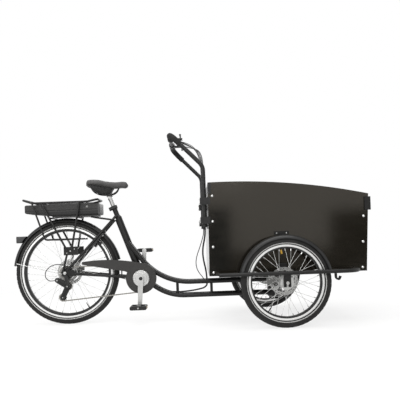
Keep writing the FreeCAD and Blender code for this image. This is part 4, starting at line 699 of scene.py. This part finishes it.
def loop(centre, along, radius, thick, sides, wave=0.0):
    # a closed bead round a tube, a little uneven where it is a weld
    along, across, lift = squareTo(along)
    rings = []
    for step in range(sides):
        turn = math.tau * step / sides
        out = across * math.cos(turn) + lift * math.sin(turn)
        size = thick * (1 + wave * math.sin(9 * turn) * math.cos(5 * turn))
        rings.append(circle(centre + out * radius, out, along, size, 8))
    return skin(rings, around=True)


def wheelPoint(centre, radius, turn, y):
    # turn runs from forward over the top
    return centre + Vector((radius * math.cos(turn), y, radius * math.sin(turn)))


def cutCorners(a, b):
    # a square with its corners cut off, two units wide
    return [(-1, -b), (-a, -1), (a, -1), (1, -b), (1, b), (a, 1), (-a, 1), (-1, b)]


def roundCorners(wide, high, corner, steps, inset=0.0):
    # a rectangle of these half sizes with round corners
    outline = []
    for start, a, b in ((0, 1, 1), (90, -1, 1), (180, -1, -1), (270, 1, -1)):
        for step in range(steps + 1):
            turn = math.radians(start + 90 * step / steps)
            outline.append((
                a * (wide - corner) + (corner - inset) * math.cos(turn),
                b * (high - corner) + (corner - inset) * math.sin(turn)))
    return outline


def plate(first, second, radii, layers, steps, waist=0.0):
    # round ends about two pivots in x and z, at each layer's y and inset, and a waist if it has one
    lean = math.atan2(second[1] - first[1], second[0] - first[0])
    rings = []
    for y, inset in layers:
        ring = []
        for (x, z), radius, begin in ((first, radii[0], 90), (second, radii[1], -90)):
            for step in range(steps + 1):
                turn = lean + math.radians(begin + 180 * step / steps)
                ring.append(spot(x + (radius - inset) * math.cos(turn), y, z + (radius - inset) * math.sin(turn)))
            if waist:
                x, z = (first[0] + second[0]) / 2, (first[1] + second[1]) / 2
                ring.append(spot(x + waist * math.cos(turn), y, z + waist * math.sin(turn)))
        rings.append(ring)
    return skin(rings)


frontWheel = {"outer": 0.251, "width": 0.050, "bead": 0.2093, "blocks": 56, "rimInner": 0.188}
wheels = {  # by body: lengths in metres, blocks round the tread, the valve's turn in degrees
    "rear_wheel": {
        "side": "rear", "node": "rear_tyre", "centre": rearCentre, "outer": 0.3265, "width": 0.047,
        "bead": 0.2858, "blocks": 72, "rimInner": 0.2585, "valveTurn": -66},
    "front_wheel_left": {
        **frontWheel, "side": "frontLeft", "node": "front_tyre_left", "centre": spot(1305, 400, 251),
        "valveTurn": 200},
    "front_wheel_right": {
        **frontWheel, "side": "frontRight", "node": "front_tyre_right", "centre": spot(1305, -400, 251),
        "valveTurn": 232}}
tread = {  # the bands are shares of the half width
    "groove": 0.0014, "perBlock": 4, "ribs": (0.10, 0.34, 0.62), "ribHalf": 0.045, "blocksTo": 0.72,
    "rimBand": (0.93, 0.99), "rimBead": 0.0003, "wall": 0.0045, "seat": 0.001, "lineGap": 0.0075, "steps": 30}


def tyreRings(wheel):
    half = wheel["width"] / 2
    middle = wheel["outer"] - half
    lowAngle = math.asin((wheel["bead"] - middle) / half)
    count = wheel["blocks"] * tread["perBlock"]
    axis = Vector()
    rings = []
    for index in range(count):
        turn = math.tau * index / count
        phase = index % tread["perBlock"]
        ring = []
        for step in range(tread["steps"] + 1):
            lean = lowAngle + (math.pi - 2 * lowAngle) * step / tread["steps"]
            side, rise = math.cos(lean), math.sin(lean)
            spread = abs(side)
            between = tread["ribs"][0] < spread < tread["blocksTo"] and phase == (0 if side > 0 else 2)
            reach = half
            if between or any(abs(spread - rib) < tread["ribHalf"] for rib in tread["ribs"]):
                reach -= tread["groove"]
            elif tread["rimBand"][0] < spread < tread["rimBand"][1] and rise < 0.5:
                reach += tread["rimBead"]
            ring.append(wheelPoint(axis, middle + reach * rise, turn, reach * side))
        inset = (half - tread["wall"]) * math.cos(lowAngle)
        for y in (-inset, inset):
            ring.append(wheelPoint(axis, wheel["bead"] + tread["seat"], turn, y))
        rings.append(ring)
    return rings


def makeTyres():
    for body, wheel in wheels.items():
        name = wheel["side"] + "Tread"
        finishes[name] = tyreRubber(name, wheel["outer"], wheel["bead"] + tread["lineGap"])
        tyre = piece(name, [skin(tyreRings(wheel), around=True)], name, body, 28, wheel["centre"])
        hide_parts(wheel["node"])


wheelTrim = {
    "spokes": 36, "lean": 0.0025, "nipple": (0.002625, 0.00168), "nippleTop": 0.001, "nippleLength": 0.013,
    "valve": 0.0033, "valveLength": 0.034,
    "valveShape": [(0.001, 1.0), (-0.6, 1.0), (-0.62, 0.72), (-0.86, 0.72), (-0.88, 0.9), (-1.0, 0.8)]}


def makeWheelTrim():
    wide, narrow = wheelTrim["nipple"]
    for body, wheel in wheels.items():
        centre, base = wheel["centre"], wheel["rimInner"]
        nipples = []
        for index in range(wheelTrim["spokes"]):
            turn = math.tau * index / wheelTrim["spokes"]
            lean = wheelTrim["lean"] if index % 2 else -wheelTrim["lean"]
            start = wheelPoint(centre, base + wheelTrim["nippleTop"], turn, lean)
            along = wheelPoint(centre, base - wheelTrim["nippleLength"], turn, 2.2 * lean) - start
            nipples.append(turned(start, along, [(0, wide), (along.length, narrow)], 6))
        piece(wheel["side"] + "Nipples", nipples, "brightSteel", body)
        turn = math.radians(wheel["valveTurn"]) + math.pi / wheelTrim["spokes"]
        across = Vector((-math.sin(turn), 0, math.cos(turn)))
        rings = []
        for share, girth in wheelTrim["valveShape"]:
            place = wheelPoint(centre, base + share * wheelTrim["valveLength"], turn, 0)
            rings.append(circle(place, across, Vector((0, 1, 0)), wheelTrim["valve"] * girth, 12))
        piece(wheel["side"] + "Valve", [skin(rings)], "blackPlastic", body)


chainLooks = {
    "pitch": 12.7, "thick": 1.1, "half": 4.1, "waist": 2.952, "inner": 1.7, "roller": 3.7, "pin": 1.6,
    "pinReach": 4.23, "outerGap": 1.155, "y": -48}
beltCircles = [  # x, z, pitch radius in mm, sense of wrap
    (468, 276, 84.972, 1), (0, 326.5, 36.568, 1), (12, 244.5, 22.539, -1), (-24, 173.5, 22.539, 1)]


def beltPoint(distance, legs):
    for kind, length, data in legs:
        if distance <= length:
            if kind == "arc":
                x, z, radius, sense, start = data
                turn = start + sense * distance / radius
                return (x + radius * math.cos(turn), z + radius * math.sin(turn))
            (x1, z1), (x2, z2) = data
            share = distance / length
            return (x1 + (x2 - x1) * share, z1 + (z2 - z1) * share)
        distance -= length
    return beltPoint(0, legs)


def beltLegs():
    # arcs round the circles and the straight runs between them
    count = len(beltCircles)
    leave = []
    for index in range(count):
        x1, z1, r1, s1 = beltCircles[index]
        x2, z2, r2, s2 = beltCircles[(index + 1) % count]
        lean = (s2 * r2 - s1 * r1) / math.hypot(x2 - x1, z2 - z1)
        leave.append(math.atan2(z2 - z1, x2 - x1) - math.asin(lean))
    arcs = []
    ends = []
    for index, (x, z, radius, sense) in enumerate(beltCircles):
        start = leave[index - 1] - sense * math.pi / 2
        sweep = (sense * (leave[index] - leave[index - 1])) % math.tau
        arcs.append(("arc", radius * sweep, (x, z, radius, sense, start)))
        ends.append([
            (x + radius * math.cos(turn), z + radius * math.sin(turn)) for turn in (start, start + sense * sweep)])
    legs = []
    for index, arc in enumerate(arcs):
        here, goal = ends[index][1], ends[(index + 1) % count][0]
        legs.extend((arc, ("line", math.dist(here, goal), (here, goal))))
    return legs


def makeChain():
    legs = beltLegs()
    total = sum(leg[1] for leg in legs)
    count = 2 * round(total / (2 * chainLooks["pitch"]))
    pins = [beltPoint(total * index / count, legs) for index in range(count)]
    middle, half, inner = chainLooks["y"], chainLooks["half"], chainLooks["inner"]
    rounds = ((chainLooks["pinReach"], chainLooks["pin"], 8), (inner, chainLooks["roller"], 12))
    forward, up = Vector((1, 0, 0)), Vector((0, 0, 1))
    shapes = []
    for index, (x, z) in enumerate(pins):
        near = inner + (chainLooks["outerGap"] if index % 2 else 0)
        for side in (1, -1):
            layers = [(middle + side * near, 0), (middle + side * (near + chainLooks["thick"]), 0)]
            shapes.append(plate((x, z), pins[(index + 1) % count], (half, half), layers, 6, chainLooks["waist"]))
        for reach, radius, sides in rounds:
            shapes.append(skin([
                circle(spot(x, middle + y, z), forward, up, radius / 1000, sides) for y in (-reach, reach)]))
    chain = piece("driveChain", shapes, "oiledSteel", "frame")
    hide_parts("chain")


steeringRoutes = {  # route in mm, radius
    "steeringBundle": ([
        (871.6, -263.2, 559.7), (871.6, -263.2, 540), (867, -238, 505), (858, -180, 464), (855, -118, 415),
        (861, -62, 368), (871, -23, 322), (877, -4, 280), (879, 0, 232)], 0.005),
    "steeringLoop": ([
        (863.3, -263.2, 559.7), (863.3, -263.2, 540), (854, -234, 505), (838, -174, 455), (819, -114, 405),
        (811, -70, 360), (817, -38, 318), (836, -14, 284), (857, -3, 258), (867, 0, 232)], 0.0025)}


def makeSteeringCables():
    loops = piece("steeringCables", housings(steeringRoutes), "cableBlack", None)
    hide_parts("steering_cables")
    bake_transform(loops)


makeTyres()
makeWheelTrim()
makeChain()
makeSteeringCables()
print("wheels, chain and cables done")


saddle = {
    "rear": 141, "base": 812, "height": 92, "length": 261, "width": 205, "stations": 56, "around": 44,
    "channel": 4.0, "channelWidth": 11, "channelFrom": 0.22, "channelTo": 0.92, "channelFade": 0.15,
    "crease": 1.4, "creaseWidth": 16, "creaseAt": 0.62, "creaseWaves": 23, "creaseTo": 0.5, "thick": 0.46,
    "tailFade": 0.06, "noseFade": 0.05, "closedTo": 0.22, "widest": 0.30, "sideRound": 0.80, "topRound": 0.85,
    "piping": 0.0013, "pipingTurn": 0.5, "pipingFrom": 0.03, "pipingSteps": 50,
    "skirt": (0.075, 0.66), "skirtSteps": 24, "skirtHalf": 0.36, "skirtTop": 0.8, "skirtFades": (0.05, 0.08),
    "skirtEnd": 0.25, "ribs": 90, "ribDepth": 0.03,
    "skirtOutline": [(-1, 1), (-1, 0.55), (-0.86, 0.22), (-0.55, 0), (0.55, 0), (0.86, 0.22), (1, 0.55), (1, 1)],
    "skirtLow": [(0.075, 852), (0.22, 824), (0.38, 809), (0.52, 806), (0.66, 832)],
    "rows": [  # share along, share of width, low and high share of height
        (0, .55, .58, .88), (.06, .84, .42, .97), (.20, 1, .20, 1), (.36, .90, .08, .94), (.52, .58, .12, .85),
        (.68, .36, .28, .81), (.86, .26, .32, .83), (.96, .20, .38, .76), (1, .10, .47, .65)]}


def through(rows, column, share):
    # a smooth line through the rows
    index = max(number for number in range(len(rows) - 1) if rows[number][0] <= share)
    low, high = rows[index], rows[index + 1]

    def slope(at):
        before, after = rows[max(at - 1, 0)], rows[min(at + 1, len(rows) - 1)]
        return (after[column] - before[column]) / (after[0] - before[0])
    span = high[0] - low[0]
    t = (share - low[0]) / span
    return ((1 + 2 * t) * (1 - t) ** 2 * low[column] + t * (1 - t) ** 2 * span * slope(index)
            + t * t * (3 - 2 * t) * high[column] + t * t * (t - 1) * span * slope(index + 1))


def saddlePoint(share, turn):
    # the cushion is about as thick all along, with a soft lower edge
    half = 0.5 * saddle["width"] * through(saddle["rows"], 1, share)
    high = through(saddle["rows"], 3, share)
    low = max(through(saddle["rows"], 2, share), high - saddle["thick"])
    near = min(share / saddle["tailFade"], (1 - share) / saddle["noseFade"], 1)
    closing = max(saddle["closedTo"], math.sqrt(1 - (1 - near) ** 2))
    middle = low + saddle["widest"] * (high - low)
    side, rise = math.cos(turn), math.sin(turn)
    y = half * closing * math.copysign(abs(side) ** saddle["sideRound"], side)
    tall = (high - middle if rise > 0 else middle - low) * closing * saddle["height"]
    tall *= math.copysign(abs(rise) ** saddle["topRound"], rise)
    z = saddle["base"] + saddle["height"] * middle + tall
    if rise > 0:
        groove = saddle["channel"] * math.exp(-(y / saddle["channelWidth"]) ** 2)
        for inside in (share - saddle["channelFrom"], saddle["channelTo"] - share):
            groove *= min(1, max(0, inside / saddle["channelFade"]))
        crease = math.exp(-((abs(y) - saddle["creaseAt"] * half) / saddle["creaseWidth"]) ** 2)
        crease *= saddle["crease"] * math.sin(share * saddle["creaseWaves"]) * (share < saddle["creaseTo"])
        z += crease - groove
    return spot(saddle["rear"] + saddle["length"] * share, y, z)


def skirtRing(share, first, last):
    # the moulded base under the cushion, drawn in at both ends
    half = saddle["skirtHalf"] * saddle["width"] * through(saddle["rows"], 1, share)
    top = through(saddle["rows"], 3, share) - saddle["skirtTop"] * saddle["thick"]
    top = saddle["base"] + saddle["height"] * top
    fadeIn, fadeOut = saddle["skirtFades"]
    near = min((share - first) / fadeIn, (last - share) / fadeOut, 1)
    deep = (top - through(saddle["skirtLow"], 1, share)) * (saddle["skirtEnd"] + (1 - saddle["skirtEnd"]) * near)
    x = saddle["rear"] + saddle["length"] * share
    ribbed = 1 + saddle["ribDepth"] * math.sin(share * saddle["ribs"])
    return [spot(x, a * half * ribbed, top - (1 - b) * deep) for a, b in saddle["skirtOutline"]]


def makeSaddle():
    count, around = saddle["stations"], saddle["around"]
    rings = []
    for station in range(count + 1):
        share = 0.004 + 0.992 * station / count
        rings.append([saddlePoint(share, math.tau * step / around) for step in range(around)])
    cushion = piece("saddleCushion", [skin(rings)], "saddleTop", "seat", 60)
    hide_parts("saddle")
    first, last = saddle["skirt"]
    count = saddle["skirtSteps"]
    rings = [skirtRing(first + (last - first) * step / count, first, last) for step in range(count + 1)]
    piece("saddleBase", [skin(rings)], "saddleSkirt", "seat", 50)
    start, count = saddle["pipingFrom"], saddle["pipingSteps"]
    piping = []
    for turn in (-saddle["pipingTurn"], math.pi + saddle["pipingTurn"]):
        seam = [saddlePoint(start + (1 - 2 * start) * step / count, turn) for step in range(count + 1)]
        piping.append(tube(seam, saddle["piping"], 8))
    piece("saddlePiping", piping, "saddleSkirt", "seat")


seatPost = {  # the shapes are distance and radius in metres
    "foot": (354, 0, 593), "along": (-0.3387, 0, 0.9409),
    "shape": [(0, 0.0116), (0.002, 0.0136), (0.192, 0.0136), (0.196, 0.0158), (0.206, 0.0154)],
    "head": (281, 797), "headHalf": 27,
    "headShape": [
        (0, 0.010), (0.002, 0.0145), (0.016, 0.0155), (0.019, 0.0125), (0.035, 0.0125), (0.038, 0.0155),
        (0.052, 0.0145), (0.054, 0.010)],
    "boltFrom": 28, "bolt": (0.0065, 0.005), "railRadius": 0.0035,
    "rails": [
        (176, 24, 842), (188, 24, 824), (214, 24, 811), (250, 23, 806), (296, 22, 806), (322, 17, 818),
        (336, 11, 834), (342, 8, 850)]}


def makeSeatPost():
    x, z = seatPost["head"]
    shapes = [
        turned(spot(*seatPost["foot"]), seatPost["along"], seatPost["shape"], 40),
        turned(spot(x, -seatPost["headHalf"], z), (0, 1, 0), seatPost["headShape"], 32)]
    for side in (-1, 1):
        rail = smoothPath([spot(a, side * b, c) for a, b, c in seatPost["rails"]])
        shapes.append(tube(rail, seatPost["railRadius"], 12))
        shapes.append(head("hex", spot(x, side * seatPost["boltFrom"], z), (0, side, 0), *seatPost["bolt"]))
    made = piece("seatPostAndRails", shapes, "postSteel", "seat")
    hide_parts("seat_post")


derailleurTrim = {  # by finish: two pivots in x and z, their radii, back and front y
    "blackPlastic": [
        ((-48, 283.5), (12, 246), (15, 17), -60, -84.5), ((12, 244.5), (-24, 173.5), (19, 16), -55.2, -58.6)],
    "guardGloss": [((-34, 277), (0, 256), (8, 8), -84, -88), ((6, 226), (-18, 186), (5, 4), -58, -60)]}
coverBevel = 1.5


def makeDerailleurTrim():
    for finish, rows in derailleurTrim.items():
        covers = []
        for first, second, radii, back, front in rows:
            layers = [(back, coverBevel), (back - coverBevel, 0), (front + coverBevel, 0), (front, coverBevel)]
            covers.append(plate(first, second, radii, layers, 12))
        piece("derailleur_" + finish, covers, finish, "frame")


batteryTrim = {
    "half": 70, "high": 754.5, "edge": 9,
    "ends": {  # finish, x, way out, low edge, steps outwards with their insets
        "batteryCap": ("batteryCap", 218, 1, 683.1, [(0, 0), (2, 0.2), (5, 1.4), (7.6, 3.6), (9, 7)]),
        "batteryTail": ("batteryGrey", -229, -1, 702.4, [(0, 0), (2, 0.2), (5, 1.4), (8, 3.8), (10, 7.5)])},
    "lock": (150, -70, 733), "slit": (0.0006, 0.0026), "slitDepths": (-0.0006, -0.0016),
    "lockRing": [(-0.004, 0.0066), (0.0008, 0.0066), (0.0014, 0.0058), (0.0014, 0.0044), (0.0006, 0.0042)],
    "lockCore": [(-0.002, 0.0039), (0.0010, 0.0039), (0.0013, 0.0034)],
    "marks": (120, 131, 142), "markHeight": 738, "mark": [(-0.002, 0.0024), (0.0006, 0.0024), (0.001, 0.0016)]}


def makeBatteryTrim():
    for name, (finish, x, way, low, steps) in batteryTrim["ends"].items():
        middle, tall = (batteryTrim["high"] + low) / 2, (batteryTrim["high"] - low) / 2
        rings = []
        for out, inset in steps:
            outline = roundCorners(batteryTrim["half"], tall, batteryTrim["edge"], 5, inset)
            rings.append([spot(x + way * out, y, middle + z) for y, z in outline])
        piece(name, [skin(rings)], finish, "battery")
    outwards = (0, -1, 0)
    lock = spot(*batteryTrim["lock"])
    shapes = [
        turned(lock, outwards, batteryTrim["lockRing"], 28), turned(lock, outwards, batteryTrim["lockCore"], 24)]
    piece("batteryLock", shapes, "darkCast", "battery")
    outline = [(a * batteryTrim["slit"][0], b * batteryTrim["slit"][1]) for a, b in square]
    shapes = [skin([[lock + Vector((x, y, z)) for x, z in outline] for y in batteryTrim["slitDepths"]])]
    for x in batteryTrim["marks"]:
        place = spot(x, -batteryTrim["half"], batteryTrim["markHeight"])
        shapes.append(turned(place, outwards, batteryTrim["mark"], 12))
    piece("batteryMarks", shapes, "blackPlastic", "battery")


reflector = {  # halves of the length, height and thickness in metres
    "bodies": ("front_wheel_right", "front_wheel_left"), "radius": 0.170, "turn": 97,
    "half": (0.0048, 0.0120), "corner": 0.002, "thick": 0.0075}
pedalReflector = {
    "half": (25, 6), "cut": (0.9, 0.6), "steps": [(-2, 1), (1.2, 1), (2, 0.9)],
    "places": {  # body: x of the pedal's ends, middle y, middle z
        "pedal_right": ((405, 507), -136, 106), "pedal_left": ((429, 531), 136, 446)}}


def makeReflectors():
    turn = math.radians(reflector["turn"])
    out = Vector((math.cos(turn), 0, math.sin(turn)))
    along = Vector((-math.sin(turn), 0, math.cos(turn)))
    thick = reflector["thick"]
    outline = roundCorners(*reflector["half"], reflector["corner"], 4)
    for body in reflector["bodies"]:
        middle = wheels[body]["centre"] + out * reflector["radius"]
        rings = []
        for y, grow in ((-thick, 0.90), (-0.8 * thick, 1), (0.8 * thick, 1), (thick, 0.90)):
            rings.append([middle + (out * b + along * a) * grow + Vector((0, y, 0)) for a, b in outline])
        piece(body + "_reflector", [skin(rings)], "amberLens", body)
    wide, high = pedalReflector["half"]
    outline = cutCorners(*pedalReflector["cut"])
    for body, (ends, y, z) in pedalReflector["places"].items():
        lenses = []
        for x, side in zip(ends, (-1, 1)):
            lenses.append(skin([
                [spot(x + side * step, y + wide * a * grow, z + high * b * grow) for a, b in outline]
                for step, grow in pedalReflector["steps"]]))
        piece(body + "_reflectors", lenses, "amberLens", body)


rackCoat = {"thick": 0.0017, "low": 0.676, "high": 0.757, "same": 0.0000001}  # none beside the battery's slide


def makeRack():
    # the thick dipped coat on the rack's tubes
    shape = bmesh.new()
    shape.from_mesh(nodes["rack_frame"].data)
    bmesh.ops.remove_doubles(shape, verts=shape.verts, dist=rackCoat["same"])
    shape.normal_update()
    for vertex in shape.verts:
        if vertex.co.z < rackCoat["low"] or vertex.co.z > rackCoat["high"]:
            vertex.co += vertex.normal * rackCoat["thick"]
    places = [vertex.co.copy() for vertex in shape.verts]
    faces = [[vertex.index for vertex in face.verts] for face in shape.faces]
    shape.free()
    rack = piece("coatedRack", [(places, faces)], "frameBlack", "frame", 35)
    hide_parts("rack_frame")


crankTrim = {  # places in mm, sizes in metres
    "axle": (468, 276), "face": -68, "rings": ((0.0485, 0.0012), (0.035, 0.0010)),
    "boltTurns": [50 + 72 * number for number in range(5)], "boltCircle": 41.5, "bolt": (0.0042, 0.0022),
    "capFrom": 85,
    "cap": [(-0.002, 0.0115), (0.001, 0.0115), (0.0022, 0.0098), (0.0026, 0.005), (0.0016, 0.0045)],
    "guardFace": -57.6, "guardBead": (0.0935, 0.0016), "studTurns": (65, 150, 215, 300), "studCircle": 80,
    "studFace": -58, "stud": (0.0045, 0.002)}


def headsRound(turns, reach, y, size):
    # round heads on a circle about the crank's axle
    x, z = crankTrim["axle"]
    spots = [spot(x + reach * math.cos(turn), y, z + reach * math.sin(turn)) for turn in map(math.radians, turns)]
    return [head("dome", place, (0, -1, 0), *size) for place in spots]


def makeCrankTrim():
    x, z = crankTrim["axle"]
    face = crankTrim["face"]
    rings = [loop(spot(x, face, z), (0, 1, 0), radius, thick, 72) for radius, thick in crankTrim["rings"]]
    bolts = headsRound(crankTrim["boltTurns"], crankTrim["boltCircle"], face, crankTrim["bolt"])
    piece("chainringBolts", rings + bolts, "brightSteel", "crank")
    caps = [
        turned(spot(x, side * crankTrim["capFrom"], z), (0, side, 0), crankTrim["cap"], 28) for side in (-1, 1)]
    piece("crankCaps", caps, "blackPlastic", "crank")
    bead = loop(spot(x, crankTrim["guardFace"], z), (0, 1, 0), *crankTrim["guardBead"], 120)
    studs = headsRound(crankTrim["studTurns"], crankTrim["studCircle"], crankTrim["studFace"], crankTrim["stud"])
    piece("chainGuardBead", [bead] + studs, "chainGuardBlack", "frame")


armAxis = (0.728, 0, -0.686)
boltRows = {"carriage": [], "frame": [  # by body: place, direction, radius, height in mm
    ((-24, -58.6, 173.5), (0, -1, 0), 4, 3), ((12, -84.5, 244.5), (0, -1, 0), 5, 3),
    ((40, -82, 462), (0, -1, 0), 5, 3), ((18, -82, 450), (0, -1, 0), 4, 3), ((66, -82, 474), (0, -1, 0), 4, 3),
    ((-48, -86, 283.5), (0, -1, 0), 6, 4), ((317, -34, 649), (0, -1, 0), 6, 5)]}
for side, arm in ((-1, "brake_arm_right"), (1, "brake_arm_left")):
    boltRows["carriage"] += [
        ((x, side * y, z), (0, side, 0), 4.5, 3.5)
        for x, y, z in ((1333, 313, 524), (1277, 313, 524), (1220, 352, 266), (1238, 352, 250))]
    boltRows["carriage"] += [((846.5, side * 302, z), (-1, 0, 0), 5, 4) for z in (734, 712, 624, 602)]
    boltRows[arm] = [
        ((237.8, side * 51.5, 550.5), armAxis, 5, 4), ((177.4, side * 51.5, 486.4), armAxis, 6, 3)]


def makeBolts():
    for body, rows in boltRows.items():
        bolts = [
            head("hex", spot(*place), along, radius / 1000, height / 1000)
            for place, along, radius, height in rows]
        piece(body + "_boltHeads", bolts, "brightSteel", body)


hook = {
    "x": 1568, "y": 441, "top": 297, "width": 0.022, "thick": 0.0085,
    "bend": [(0, 0), (0, 16.5), (2, 30), (13.2, 37.5), (22, 30), (25, 18)]}  # forward and down from the top


def makeHooks():
    # a bent strap under the front end of each guard bar
    across = Vector((0, hook["width"] / 2, 0))
    for side, name in ((-1, "guardHookRight"), (1, "guardHookLeft")):
        path = smoothPath([
            spot(hook["x"] + forward, side * hook["y"], hook["top"] - down) for forward, down in hook["bend"]])
        rings = []
        for index, place in enumerate(path):
            along = heading(path, index)
            lift = Vector((-along.z, 0, along.x)) * hook["thick"] / 2
            rings.append([place + across * a + lift * b for a, b in square])
        piece(name, [skin(rings)], "frameBlack", "carriage", 30)


weld = {"thick": 0.0019, "wave": 0.25, "beads": [  # place in mm, on both sides, direction, radius
    ((404, 24, 480), (0.602, 0, -0.798), 0.0144), ((316, 31, 663.5), (0.684, 0, 0.729), 0.0094),
    ((1254, 24, 240), (1, 0, 0), 0.0144), ((1254, 24, 156), (1, 0, 0), 0.0144)]}


def makeWelds():
    beads = [
        loop(spot(x, side * y, z), along, radius, weld["thick"], 54, weld["wave"])
        for (x, y, z), along, radius in weld["beads"] for side in (1, -1)]
    piece("weldBeads", beads, "frameBlack", "frame")


tie = {
    "x": 870, "y": -277, "heights": (668, 784, 862), "radii": (0.0150, 0.0285), "steps": 40,
    "half": (0.0007, 0.0022)}
barHousings = {  # route in mm, radius
    "shiftHousing": ([
        (700, -128, 1113), (728, -126, 1104), (762, -150, 1090), (800, -196, 1062), (832, -236, 1030),
        (852, -256, 985), (860, -256, 930), (861.5, -256.5, 870), (862, -257, 700), (862.5, -258, 600),
        (863, -262, 570), (863.3, -263.2, 556)], 0.0027),
    "displayLead": ([
        (700, -60, 1122), (735, -92, 1112), (776, -128, 1094), (815, -172, 1066), (845, -222, 1022),
        (862, -248, 968), (866.5, -254, 915), (867, -255.5, 860), (867, -256, 700), (868, -258, 600),
        (870, -262, 570), (871, -263.2, 556)], 0.002)}
display = {
    "centre": (685, -52), "top": 1145, "half": (17, 24), "cut": (0.85, 0.9),
    "steps": [(-1.0, 0), (0.35, 0), (0.55, 0.8)],  # rise and inset
    "buttons": (-10, 0, 10), "buttonGap": 4, "button": [(-0.001, 0.003), (0.0014, 0.003), (0.002, 0.0022)]}


def makeBarTrim():
    thick, high = tie["half"]
    bands = []
    for z in tie["heights"]:
        rings = []
        for step in range(tie["steps"]):
            turn = math.tau * step / tie["steps"]
            sine = math.sin(turn)
            out = Vector((
                tie["radii"][0] * math.cos(turn), tie["radii"][1] * math.copysign(abs(sine) ** 0.8, sine), 0))
            rings.append([
                spot(tie["x"], tie["y"], z) + out + out.normalized() * a * thick + Vector((0, 0, b * high))
                for a, b in square])
        bands.append(skin(rings, around=True))
    piece("cableTies", bands, "blackPlastic", "carriage")
    piece("barHousings", housings(barHousings), "cableBlack", "carriage")
    x, y = display["centre"]
    deep, wide = display["half"]
    rings = []
    for rise, inset in display["steps"]:
        rings.append([
            spot(x + a * (deep - inset), y + b * (wide - inset), display["top"] + rise)
            for a, b in cutCorners(*display["cut"])])
    piece("displayGlass", [skin(rings)], "screenGlass", "carriage")
    buttons = []
    for forward in display["buttons"]:
        place = spot(x + forward, y + wide + display["buttonGap"], display["top"] - 1)
        buttons.append(turned(place, (0, 0, 1), display["button"], 18))
    piece("displayButtons", buttons, "castSilver", "carriage")


makeSaddle()
makeSeatPost()
makeDerailleurTrim()
makeBatteryTrim()
makeReflectors()
makeRack()
makeCrankTrim()
makeBolts()
makeHooks()
makeWelds()
makeBarTrim()


bpy.context.view_layer.update()
print("pieces done")
